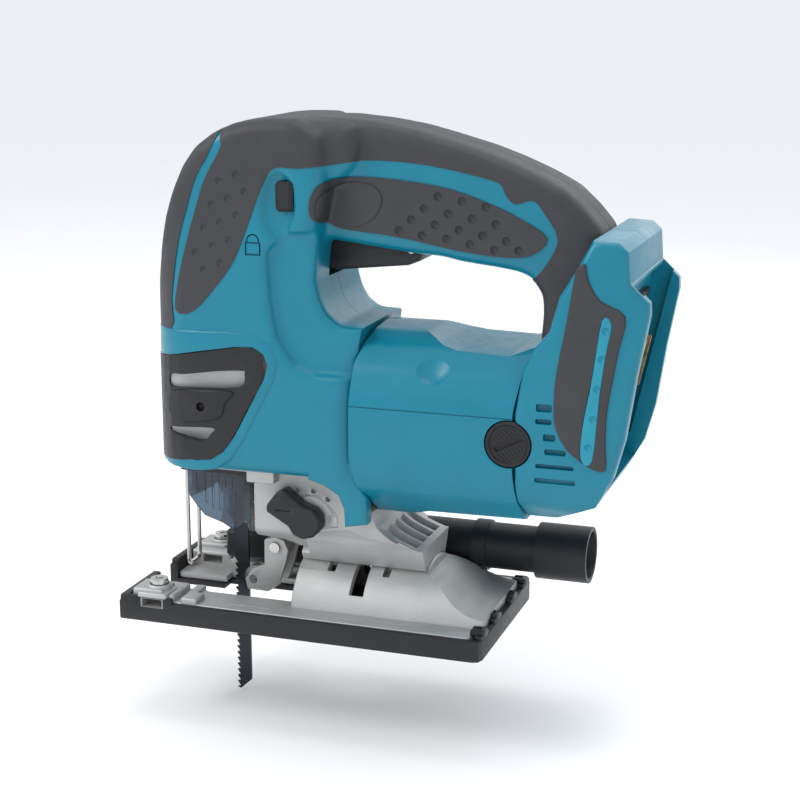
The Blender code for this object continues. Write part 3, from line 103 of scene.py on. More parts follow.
@dataclass(frozen=True)
class Finish:
    """One surface finish.

    Attributes:
        name: Material name.
        slot: Material slot of the record that it belongs to; not used.
        colour: Base colour, linear RGB.
        roughness: Mean roughness.
        metallic: Metallic value.
        grain: Kind of relief.
        size: Grain size in millimetres.
        depth: Height of the relief in millimetres.
        mottle: How far the colour drifts, from 0 to 1.
        spread: How far the roughness drifts either way.
        coat: Clear coat weight.
        clear: Transmission weight.
        gloss: Specular level.
    """

    name: str
    slot: str
    colour: tuple[float, float, float]
    roughness: float
    metallic: float = 0.0
    grain: Grain = Grain.MOULDED
    size: float = 0.5
    depth: float = 0.02
    mottle: float = 0.06
    spread: float = 0.05
    coat: float = 0.0
    clear: float = 0.0
    gloss: float = 0.5

    def material(self) -> bpy.types.Material:
        """Build the node material once and share it.

        Returns:
            The material.
        """
        made = bpy.data.materials.get(self.name)
        if made:
            return made
        made = bpy.data.materials.new(self.name)
        made.use_nodes = True
        nodes = made.node_tree.nodes
        links = made.node_tree.links
        shader = nodes["Principled BSDF"]
        shader.inputs["Metallic"].default_value = self.metallic
        shader.inputs["Coat Weight"].default_value = self.coat
        shader.inputs["Coat Roughness"].default_value = 0.18
        shader.inputs["Transmission Weight"].default_value = self.clear
        shader.inputs["IOR"].default_value = 1.5
        shader.inputs["Specular IOR Level"].default_value = self.gloss
        place = nodes.new("ShaderNodeTexCoord").outputs["Object"]
        if self.grain is Grain.BRUSHED:
            stretch = nodes.new("ShaderNodeMapping")
            stretch.inputs["Scale"].default_value = (0.06, 1.0, 1.0)
            links.new(place, stretch.inputs["Vector"])
            place = stretch.outputs["Vector"]

        def cloud(size_mm: float, detail: float) -> bpy.types.Node:
            """Noise of a given size in millimetres."""
            node = nodes.new("ShaderNodeTexNoise")
            node.inputs["Scale"].default_value = 1.0 / (size_mm * MM)
            node.inputs["Detail"].default_value = detail
            links.new(place, node.inputs["Vector"])
            return node

        broad = cloud(self.size * 36, 3.0)
        tint = nodes.new("ShaderNodeValToRGB")
        low = [c * (1 - self.mottle) for c in self.colour]
        high = [min(1.0, c * (1 + self.mottle)) for c in self.colour]
        tint.color_ramp.elements[0].position = 0.3
        tint.color_ramp.elements[0].color = (*low, 1)
        tint.color_ramp.elements[1].position = 0.7
        tint.color_ramp.elements[1].color = (*high, 1)
        links.new(broad.outputs["Fac"], tint.inputs["Fac"])
        links.new(tint.outputs["Color"], shader.inputs["Base Color"])

        wear = cloud(self.size * 9, 5.0)
        shine = nodes.new("ShaderNodeMapRange")
        shine.inputs["From Min"].default_value = 0.3
        shine.inputs["From Max"].default_value = 0.7
        shine.inputs["To Min"].default_value = max(0.03, self.roughness - self.spread)
        shine.inputs["To Max"].default_value = min(1.0, self.roughness + self.spread)
        links.new(wear.outputs["Fac"], shine.inputs["Value"])
        links.new(shine.outputs["Result"], shader.inputs["Roughness"])

        fine = self.relief(nodes, links, place, cloud)
        bump = nodes.new("ShaderNodeBump")
        bump.inputs["Strength"].default_value = 1.0
        bump.inputs["Distance"].default_value = self.depth * MM
        links.new(fine, bump.inputs["Height"])
        links.new(bump.outputs["Normal"], shader.inputs["Normal"])
        return made

    def relief(self, nodes: bpy.types.Nodes, links: bpy.types.NodeLinks, place: bpy.types.NodeSocket,
               cloud: Callable[[float, float], bpy.types.Node]) -> bpy.types.NodeSocket:
        """Height pattern of the grain.

        Args:
            nodes: The material's nodes.
            links: The material's links.
            place: Coordinates.
            cloud: Maker of noise nodes.

        Returns:
            The height socket.
        """
        if self.grain is Grain.CAST:
            pits = nodes.new("ShaderNodeTexVoronoi")
            pits.feature = "SMOOTH_F1"
            pits.inputs["Scale"].default_value = 1.0 / (self.size * MM)
            links.new(place, pits.inputs["Vector"])
            blend = nodes.new("ShaderNodeMath")
            blend.operation = "ADD"
            links.new(pits.outputs["Distance"], blend.inputs[0])
            links.new(cloud(self.size * 2.2, 6.0).outputs["Fac"], blend.inputs[1])
            return blend.outputs[0]
        detail = {Grain.MOULDED: 4.0, Grain.RUBBER: 7.0, Grain.GROUND: 2.0, Grain.BRUSHED: 6.0}[self.grain]
        return cloud(self.size, detail).outputs["Fac"]


TEAL = Finish("teal_nylon", "teal", (0.0, 0.178, 0.262), 0.36, size=0.42, depth=0.016,
              mottle=0.04, coat=0.06, gloss=0.38)
TEAL_BRIGHT = Finish("teal_insert", "teal", (0.0, 0.24, 0.34), 0.36, size=0.42, depth=0.016, mottle=0.04)
RUBBER = Finish("soft_grip", "rubber", (0.03, 0.03, 0.034), 0.58, grain=Grain.RUBBER, size=0.3,
                depth=0.03, mottle=0.1)
BLACK = Finish("black_nylon", "black", (0.0105, 0.0105, 0.012), 0.46, size=0.4, depth=0.02, mottle=0.12,
               gloss=0.4)
CAST = Finish("die_cast", "cast", (0.42, 0.42, 0.415), 0.5, 0.55, Grain.CAST, 0.4, 0.03, 0.07, 0.05)
STEEL = Finish("ground_steel", "steel", (0.5, 0.49, 0.48), 0.26, 1.0, Grain.GROUND, 0.3, 0.006,
               0.06, 0.07)
BLUED = Finish("blued_steel", "dark_steel", (0.036, 0.039, 0.046), 0.36, 0.85, Grain.BRUSHED,
               0.4, 0.01, 0.2, 0.08)
SCREW = Finish("blackened_steel", "dark_steel", (0.09, 0.09, 0.095), 0.34, 0.9, Grain.GROUND,
               0.3, 0.008, 0.1, 0.08)
COPPER = Finish("winding_copper", "copper", (0.62, 0.27, 0.13), 0.34, 1.0, Grain.BRUSHED, 0.4,
                0.02, 0.1, 0.08)
BRASS = Finish("stamped_brass", "brass", (0.58, 0.42, 0.17), 0.32, 1.0, Grain.GROUND, 0.3,
               0.006, 0.08, 0.08)
CARBON = Finish("sintered_black", "carbon", (0.025, 0.025, 0.026), 0.66, grain=Grain.CAST,
                size=0.4, depth=0.02)
CLEAR = Finish("tinted_polycarbonate", "clear", (0.075, 0.125, 0.175), 0.1, size=1.6,
               depth=0.01, mottle=0.03, spread=0.03, clear=0.93)
FLOOR = Finish("floor", "black", (0.97, 0.97, 0.97), 0.8, size=2.0, depth=0.0, mottle=0.005)


# ------------------------------------------------------------------------------------------------ modelling
class Axis(Enum):
    """Axis that a flat drawing is pushed along; the drawing lies in the other two, in X, Y, Z order."""

    X = "X"
    Y = "Y"
    Z = "Z"

    def place(self, u: float, v: float, w: float) -> Vector:
        """Point at (u, v) of the drawing and w along the axis, from millimetres to metres."""
        if self is Axis.X:
            return Vector((w, u, v)) * MM
        if self is Axis.Y:
            return Vector((u, w, v)) * MM
        return Vector((u, v, w)) * MM


class Bench:
    """Modelling operations shared by the sub-assemblies."""

    @staticmethod
    def rounded(points: Sequence[Point2], steps: int = 5) -> list[Point2]:
        """Smooth closed ring through a drawing's points.

        Args:
            points: Corner points.
            steps: Points made for each of them.

        Returns:
            The denser ring.
        """
        count = len(points)
        ring: list[Point2] = []
        for k in range(count):
            a, b, c, d = (Vector(points[(k + s) % count]) for s in (-1, 0, 1, 2))
            for step in range(steps):
                t = step / steps
                spot = 0.5 * (2 * b + (c - a) * t + (2 * a - 5 * b + 4 * c - d) * t * t
                              + (3 * b - a - 3 * c + d) * t ** 3)
                ring.append((spot.x, spot.y))
        return ring

    @staticmethod
    def obj(bm: bmesh.types.BMesh, name: str) -> bpy.types.Object:
        """Turn a bmesh into a linked object.

        Args:
            bm: The mesh, which is freed.
            name: Object name.

        Returns:
            The object, at the origin.
        """
        mesh = bpy.data.meshes.new(name)
        bm.to_mesh(mesh)
        bm.free()
        made = bpy.data.objects.new(name, mesh)
        bpy.context.scene.collection.objects.link(made)
        return made

    @staticmethod
    def prism(name: str, points: Sequence[Point2], axis: Axis, low: float, high: float, edge: float = 0.0,
              segments: int = 2) -> bpy.types.Object:
        """Outline pushed along an axis, with its two rims bevelled.

        Args:
            name: Object name.
            points: Outline in millimetres.
            axis: Direction of the push.
            low: Start along the axis, millimetres.
            high: End along the axis, millimetres.
            edge: Bevel of the rims, millimetres.
            segments: Segments of that bevel.

        Returns:
            A closed solid.
        """
        bm = bmesh.new()
        base = bm.faces.new([bm.verts.new(axis.place(u, v, low)) for u, v in points])
        pushed = bmesh.ops.extrude_face_region(bm, geom=[base], use_keep_orig=True)["geom"]
        top = [item for item in pushed if isinstance(item, bmesh.types.BMVert)]
        bmesh.ops.translate(bm, vec=axis.place(0, 0, high - low), verts=top)
        bmesh.ops.recalc_face_normals(bm, faces=bm.faces)
        if edge:
            caps = [face for face in bm.faces if len(face.verts) == len(points) and len(points) != 4]
            if not caps:
                index = "XYZ".index(axis.value)
                caps = [face for face in bm.faces if abs(face.normal[index]) > 0.99]
            rims = {rim for face in caps for rim in face.edges}
            bmesh.ops.bevel(bm, geom=list(rims), offset=edge * MM, segments=segments, profile=0.5,
                            affect="EDGES", material=-1, clamp_overlap=True)
        return Bench.obj(bm, name)

    @staticmethod
    def block(name: str, low: Point3, high: Point3, edge: float = 0.0,
              segments: int = 2) -> bpy.types.Object:
        """Box between two corners in millimetres, with rounded edges."""
        bm = bmesh.new()
        bmesh.ops.create_cube(bm, size=1.0)
        size = [(b - a) * MM for a, b in zip(low, high)]
        middle = [(b + a) / 2 * MM for a, b in zip(low, high)]
        bmesh.ops.scale(bm, vec=size, verts=bm.verts)
        bmesh.ops.translate(bm, vec=middle, verts=bm.verts)
        if edge:
            bmesh.ops.bevel(bm, geom=bm.edges, offset=edge * MM, segments=segments, profile=0.5,
                            affect="EDGES", material=-1)
        return Bench.obj(bm, name)

    @staticmethod
    def turned(name: str, profile: Sequence[Point2], axis: Axis, centre: Point2, steps: int = 48,
               closed: bool = False) -> bpy.types.Object:
        """Solid of revolution from its section.

        Args:
            name: Object name.
            profile: (radius, place along the axis) pairs in millimetres.
            axis: Axis of the turn.
            centre: The axis's place in the other two directions, millimetres.
            steps: Steps round the turn.
            closed: True where the section is a ring with a bore, False where it starts and ends on the axis.

        Returns:
            A closed solid.
        """
        bm = bmesh.new()
        verts = [bm.verts.new((r * MM, 0, z * MM)) for r, z in profile]
        ends = zip(verts, verts[1:] + verts[:1]) if closed else zip(verts, verts[1:])
        edges = [bm.edges.new(pair) for pair in ends]
        bmesh.ops.spin(bm, geom=verts + edges, cent=(0, 0, 0), axis=(0, 0, 1), angle=2 * math.pi,
                       steps=steps, use_merge=True)
        bmesh.ops.remove_doubles(bm, verts=bm.verts, dist=1e-6)
        bmesh.ops.recalc_face_normals(bm, faces=bm.faces)
        turn = {Axis.X: Matrix.Rotation(math.pi / 2, 4, "Y"), Axis.Y: Matrix.Rotation(-math.pi / 2, 4, "X"),
                Axis.Z: Matrix.Identity(4)}[axis]
        bm.transform(Matrix.Translation(axis.place(*centre, 0)) @ turn)
        return Bench.obj(bm, name)

    @staticmethod
    def drum(name: str, axis: Axis, centre: Point2, low: float, high: float, radius: float,
             edge: float = 0.0, steps: int = 40) -> bpy.types.Object:
        """Round bar with chamfered ends, in millimetres."""
        profile = [(0, low), (radius - edge, low), (radius, low + edge), (radius, high - edge),
                   (radius - edge, high), (0, high)]
        if not edge:
            profile = [(0, low), (radius, low), (radius, high), (0, high)]
        return Bench.turned(name, profile, axis, centre, steps)

    @staticmethod
    def ball(name: str, spot: Vector, radius: float, turns: int, rings: int) -> bpy.types.Object:
        """Ball round a spot in metres, with its radius in millimetres."""
        bm = bmesh.new()
        bmesh.ops.create_uvsphere(bm, u_segments=turns, v_segments=rings, radius=radius * MM)
        bmesh.ops.translate(bm, vec=spot, verts=bm.verts)
        return Bench.obj(bm, name)

    @staticmethod
    def shaped(target: bpy.types.Object) -> bpy.types.Mesh:
        """Mesh of an object with its modifiers applied."""
        graph = bpy.context.evaluated_depsgraph_get()
        return bpy.data.meshes.new_from_object(target.evaluated_get(graph))

    @staticmethod
    def boolean(target: bpy.types.Object, operation: str,
                tools: Iterable[bpy.types.Object]) -> bpy.types.Object:
        """Combine solids one after another.

        Args:
            target: The solid that is changed.
            operation: UNION, DIFFERENCE or INTERSECT.
            tools: Solids that are used up.

        Returns:
            The target.
        """
        for tool in tools:
            modifier = target.modifiers.new("shape", "BOOLEAN")
            modifier.operation = operation
            modifier.solver = "EXACT"
            modifier.object = tool
            mesh = Bench.shaped(target)
            target.modifiers.clear()
            old = target.data
            target.data = mesh
            bpy.data.meshes.remove(old)
            bpy.data.objects.remove(tool)
        return target

    @staticmethod
    def join(target: bpy.types.Object, *tools: bpy.types.Object) -> bpy.types.Object:
        """Union."""
        return Bench.boolean(target, "UNION", tools)

    @staticmethod
    def cut(target: bpy.types.Object, *tools: bpy.types.Object) -> bpy.types.Object:
        """Difference."""
        return Bench.boolean(target, "DIFFERENCE", tools)

    @staticmethod
    def keep(target: bpy.types.Object, *tools: bpy.types.Object) -> bpy.types.Object:
        """Intersection."""
        return Bench.boolean(target, "INTERSECT", tools)

    @staticmethod
    def copy(target: bpy.types.Object) -> bpy.types.Object:
        """Second object with its own mesh."""
        twin = bpy.data.objects.new(target.name, target.data.copy())
        bpy.context.scene.collection.objects.link(twin)
        return twin

    @staticmethod
    def merged(name: str, parts: Iterable[bpy.types.Object]) -> bpy.types.Object:
        """Separate solids as one object, such as a set of small cutters or marks."""
        bm = bmesh.new()
        for part in parts:
            bm.from_mesh(part.data)
            bpy.data.objects.remove(part)
        return Bench.obj(bm, name)

    @staticmethod
    def melted(target: bpy.types.Object, voxel: float, rounds: int) -> bpy.types.Object:
        """Remesh a solid evenly and relax its edges into soft ones.

        Args:
            target: Solid that may cross itself.
            voxel: Size of the even mesh, millimetres.
            rounds: Smoothing passes.

        Returns:
            The target.
        """
        remesh = target.modifiers.new("even", "REMESH")
        remesh.mode = "VOXEL"
        remesh.voxel_size = voxel * MM
        relax = target.modifiers.new("relax", "SMOOTH")
        relax.factor = 0.5
        relax.iterations = rounds
        mesh = Bench.shaped(target)
        target.modifiers.clear()
        target.data = mesh
        return target

    @staticmethod
    def refined(node: str, name: str, edge: float, segments: int = 2) -> bpy.types.Object:
        """Copy of a frame node, merged to flat faces, with its edges rounded.

        Args:
            node: Node of the frame.
            name: Name of the new piece.
            edge: Bevel width, millimetres.
            segments: Segments of the bevel.

        Returns:
            The piece, which still has to ride on a body.
        """
        bm = bmesh.new()
        bm.from_mesh(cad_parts[node].data)
        bm.transform(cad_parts[node].matrix_world)
        bmesh.ops.remove_doubles(bm, verts=bm.verts, dist=1e-6)
        bmesh.ops.dissolve_limit(bm, angle_limit=math.radians(1.0), verts=bm.verts, edges=bm.edges)
        made = Bench.obj(bm, name)
        Bench.soften(made, edge, segments)
        return made

    @staticmethod
    def soften(target: bpy.types.Object, edge: float, segments: int = 2,
               angle: float = 28.0) -> bpy.types.Object:
        """Round every edge sharper than an angle."""
        if edge:
            bevel = target.modifiers.new("edges", "BEVEL")
            bevel.width = edge * MM
            bevel.segments = segments
            bevel.limit_method = "ANGLE"
            bevel.angle_limit = math.radians(angle)
            mesh = Bench.shaped(target)
            target.modifiers.clear()
            target.data = mesh
        return target


@dataclass
class Assembly:
    """Base of the sub-assemblies."""

    body: str = "housing"

    def fit(self, piece: bpy.types.Object, name: str, finish: Finish, replaces: Sequence[str] = (),
            body: str | None = None, smooth: float = 32.0) -> bpy.types.Object:
        """Name a piece, dress it, and hand it to the frame.

        Args:
            piece: The finished mesh.
            name: Piece name.
            finish: Its surface.
            replaces: Frame nodes that it stands for.
            body: Body it rides on, or the sub-assembly's own.
            smooth: Edge angle up to which shading is smooth.

        Returns:
            The piece.
        """
        piece.name = name
        piece.data.name = name
        coat(piece.data, finish)
        piece.data.shade_smooth()
        piece.data.set_sharp_from_angle(angle=math.radians(smooth))
        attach(piece, body or self.body)
        if replaces:
            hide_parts(*replaces)
        LOG.info("piece %s: %d faces", name, len(piece.data.polygons))
        return piece


# ------------------------------------------------------------------------------------------------ drawings
HEAD: list[Point2] = [
    (-67, 112), (-66.6, 118), (-63.4, 136), (-59.9, 149), (-56.2, 161.5), (-52.4, 172), (-48.2, 181),
    (-42.8, 188.2), (-35.6, 193.4), (-28, 196.8), (-20.6, 198.6), (-13.2, 199.2), (-1.4, 199.3),
    (9, 193), (10, 175), (6.5, 158), (4.8, 139), (6.7, 131.4), (9.6, 126), (14.6, 122.3), (25, 122),
    (22, 110), (21.4, 90), (21.4, 74), (22.4, 64), (17, 57), (10.5, 59.6), (2.4, 62.1), (-19, 62),
    (-40.9, 61.9), (-53, 62.6), (-60, 64), (-67, 66.4), (-68.5, 80), (-70, 100)]
HANDLE: list[Point2] = [
    (-18, 196.8), (-3, 199.1), (10.3, 199.3), (25.7, 197.9), (38.4, 195.9), (51.4, 192.7), (66.3, 188.6),
    (77.3, 184.7), (88.3, 180.1), (97.8, 175.2), (105, 168.8), (111.8, 161), (113.6, 150), (112, 130),
    (112, 98), (93.5, 98), (90.6, 112), (89.9, 121), (90.7, 130.3), (90.2, 137), (86.2, 142.6),
    (81.7, 144.6), (74.3, 145.8), (59.3, 147.4), (51.7, 149), (42.6, 149.4), (30, 150.8), (8, 153.4),
    (-2, 155), (-14, 160)]
RECEIVER: list[Point2] = [
    (88.3, 113), (92.5, 121.5), (97.5, 127), (101, 140), (107.5, 151), (112.6, 160.6), (121.8, 160.2),
    (125.4, 157), (126.2, 146), (133.2, 139.4), (133.4, 134.9), (129.4, 112.9), (125.9, 89), (122, 74.5),
    (115.4, 62.6), (107, 58.4), (98.2, 54.4), (89, 53.2), (86.4, 62), (85.6, 73), (85.3, 96)]
TOP_RUBBER: list[Point2] = [
    (-51.9, 125.3), (-50.3, 136.6), (-45.8, 152.4), (-41.4, 165.7), (-37.1, 177.4), (-30.4, 189),
    (-25, 206), (60, 206), (112, 180), (118, 166), (113.2, 160.4), (108.6, 150.2), (102.8, 143.7),
    (99, 129.7), (96.6, 123.6), (84, 119), (84, 139), (90.4, 146), (96.4, 157.6), (91.4, 167),
    (86.9, 171.8), (80.4, 170.2), (76.7, 173.4), (74.2, 177.6), (63.7, 180.3), (49, 183), (34.2, 184.3),
    (21.5, 184.2), (11.6, 182.8), (0, 181.6), (-9, 181.4), (-13.8, 175.6), (-21.2, 157.3),
    (-26.2, 146.1), (-33, 136.8), (-43.7, 125.6)]
CHEEK: list[Point2] = [
    (107.4, 150.7), (106.5, 146.6), (104.1, 130.7), (101, 113.2), (100.2, 102.6), (100.8, 93.4),
    (104.4, 85.9), (108.8, 82), (113.7, 78.9), (119.6, 78.2), (119.4, 88), (119.8, 101), (123.1, 121.8),
    (125.2, 134.8), (116.1, 139.8), (111.6, 147), (110.4, 152.6)]
CHEEK_INSERT: list[Point2] = [
    (117, 133.4), (120.6, 131.6), (118.6, 119.5), (116.6, 100), (114.8, 80.9), (110.6, 81.4),
    (110.8, 93.1), (114.2, 114.3)]
SIDE_PAD: list[Point2] = [
    (4.5, 165.4), (5.2, 171.3), (8.4, 175.7), (14.2, 177.8), (27.1, 178.1), (42, 176.9), (56.7, 174.6),
    (71.3, 169.9), (82.1, 165.2), (92.5, 158.4), (86, 151.6), (73, 150.8), (56.9, 152.6), (42, 155.3),
    (30.8, 156.9), (19.4, 157.8), (11.8, 158.9), (6.4, 162)]
PAD_OVAL: list[Point2] = [
    (6.8, 164.9), (8, 170.7), (13.4, 175.2), (21, 176.1), (27.1, 174.2), (29.3, 170.1), (27, 164.3),
    (21.7, 160.5), (14.1, 159.8), (8.7, 162.1)]
NOSE_STRIP: list[Point2] = [
    (-78, 117.5), (-54.9, 117.5), (-53.8, 130), (-49.8, 150.9), (-45.4, 165), (-41, 177.4), (-35, 187.6),
    (-31.6, 203), (-60, 203), (-78, 170)]
RELEASE_BAND: list[Point2] = [
    (-80, 66.2), (-43.8, 66.4), (-37.6, 67.3), (-32.4, 70.7), (-27.6, 77.1), (-22.1, 87.1), (-14.6, 101),
    (-13, 106.4), (-14.7, 110.6), (-19, 113.1), (-26.4, 112.8), (-42.6, 110), (-57, 107.1), (-72, 104.3),
    (-80, 103.3)]
PANEL_DIMPLES: list[Point2] = [
    (-24.7, 178.7), (-31.6, 176), (-21.3, 172.4), (-28.2, 169.7), (-35, 167), (-24.8, 163.5),
    (-31.6, 160.6), (-38.4, 158), (-28.2, 154), (-35, 151.4), (-42.1, 148.5), (-31.9, 145), (-38.9, 142)]
PAD_DIMPLES: list[Point2] = [
    (51, 172), (60.2, 170.6), (69.4, 168.8), (45.7, 167.3), (55, 165.8), (64.1, 164.3), (73.2, 162.6),
    (40.8, 163.1), (50, 161.6), (59.2, 160), (68.2, 158.3), (77.3, 156.7), (35.9, 158.8), (45, 157.4),
    (54.5, 156.4), (63.5, 154.9), (72.8, 153.2), (82, 153.4)]
INSERT_DIMPLES: list[Point2] = [
    (118.4, 129.2), (117.2, 119), (115.9, 108), (114.7, 97), (113.2, 86.4)]
SHOULDER: list[Point2] = [
    (-4, 198.4), (8, 198.6), (19, 197), (22, 190), (20, 182), (14, 176), (-4, 172)]
WAIST: list[Point2] = [
    (-13.5, 150), (-12.6, 132), (-10, 117), (-3, 107), (6, 103.5), (60, 103.5), (60, 156), (4, 158),
    (-6, 157)]
BUTTON_RECESS: list[Point2] = [
    (-15.2, 169), (-12.6, 178), (-7.4, 180.6), (-2.4, 176), (-1.8, 164), (-6, 156), (-10.6, 154.6),
    (-14.6, 161)]
RECEIVER_SECTION: list[Point2] = [
    (-34.2, 84), (-33.4, 72), (-29.4, 62.4), (-21.5, 55), (-10, 51), (10, 51), (21.5, 55), (29.4, 62.4),
    (33.4, 72), (34.2, 84), (34.2, 170), (-34.2, 170)]
WINDOW_HIGH: list[Point2] = [
    (-55.1, 99.7), (-48.1, 100.6), (-34.2, 102.8), (-23.7, 103.7), (-22.5, 102.5), (-25.1, 97),
    (-46.6, 95), (-55.2, 95.1)]
WINDOW_LOW: list[Point2] = [
    (-55.4, 78.5), (-36.8, 80.1), (-37.3, 77.7), (-40.7, 74.4), (-47.2, 75), (-54.6, 76.3)]
BAND_BAR: list[Point2] = [
    (-53.8, 93.4), (-28.2, 95.4), (-30.8, 90.4), (-34.4, 83.6), (-53.8, 82.2)]
HEAD_PLAN: list[Point2] = [
    (-66.6, -7.5), (-65.4, -12.5), (-62.9, -17.4), (-59.2, -22.2), (-55.2, -25.6), (-50, -27.8),
    (-42, -28.6), (40, -28.6), (40, 28.6), (-42, 28.6), (-50, 27.8), (-55.2, 25.6), (-59.2, 22.2),
    (-62.9, 17.4), (-65.4, 12.5), (-66.6, 7.5)]
BAND_LIP: list[Point2] = [
    (-76, 117.4), (-30, 118.6), (-19, 118.2), (-11.4, 114.4), (-8.6, 107), (-10.4, 100.6), (-18.4, 85.6),
    (-24.2, 74.8), (-29.4, 67.4), (-36, 63), (-43.6, 61.9), (-76, 62.2)]
SKIRT: list[Point2] = [
    (17.2, 44.4), (26.4, 46.2), (26.2, 57), (22.2, 63), (20.6, 71), (4, 71), (2, 62.2), (9.2, 60.2),
    (14.6, 56.8), (16.9, 51.7)]
BARREL_SIDE: list[Point2] = [
    (33.9, 121.2), (45, 120.7), (50, 118.8), (54, 117.1), (60, 115.8), (80, 115.1), (88.6, 118),
    (91.6, 119.9), (87.4, 113), (84.7, 96), (85, 73), (85.9, 62), (87.6, 52.8), (63.8, 51.9),
    (48.3, 51.4), (42.8, 49.2), (36.6, 47.2), (26.9, 46.6), (26.9, 56.5), (22.9, 62), (21.4, 74),
    (21.4, 90), (21.8, 110), (25.2, 121.6)]
BARREL_SECTION: list[Point2] = [
    (0, 121.6), (-12, 120.4), (-21.5, 116.2), (-28.8, 108.6), (-32.6, 99.6), (-33.7, 94.4),
    (-33.7, 73.8), (-32.4, 68), (-28.8, 60.6), (-21.5, 53.4), (-12, 47.9), (0, 46.4)]
BARREL_GAP: list[Point2] = [
    (24.6, 130), (33.6, 121.4), (45, 120.9), (54, 117.4), (60, 116.1), (80, 115.4), (92.6, 121),
    (87.7, 113), (85, 96), (85.3, 73), (86.2, 62), (88.6, 50), (60, 44), (26, 40), (26.5, 56.5),
    (22.6, 62), (21, 74), (21, 90), (21.4, 110)]
HOOD_SLOPE: list[Point2] = [
    (44, 1), (44, 30), (46.6, 23.9), (49, 23.0), (52, 21.4), (55, 19.2), (58, 16.9), (61, 14.9),
    (64.5, 13.2), (68.5, 12.1), (72.6, 11.6), (72.6, 1)]
FOOT_TOP: list[Point2] = [
    (26.2, 70), (26.2, 46.0), (27.6, 43.2), (30, 40.8), (33, 38.7), (37, 36.8), (41, 35.2), (44.2, 34.2),
    (60, 34.0), (60, 70)]
FOOT_POCKET: list[Point2] = [
    (29.4, 70), (29.4, 39.6), (33.4, 36.0), (38, 33.6), (42.4, 32.4), (42.4, 70)]


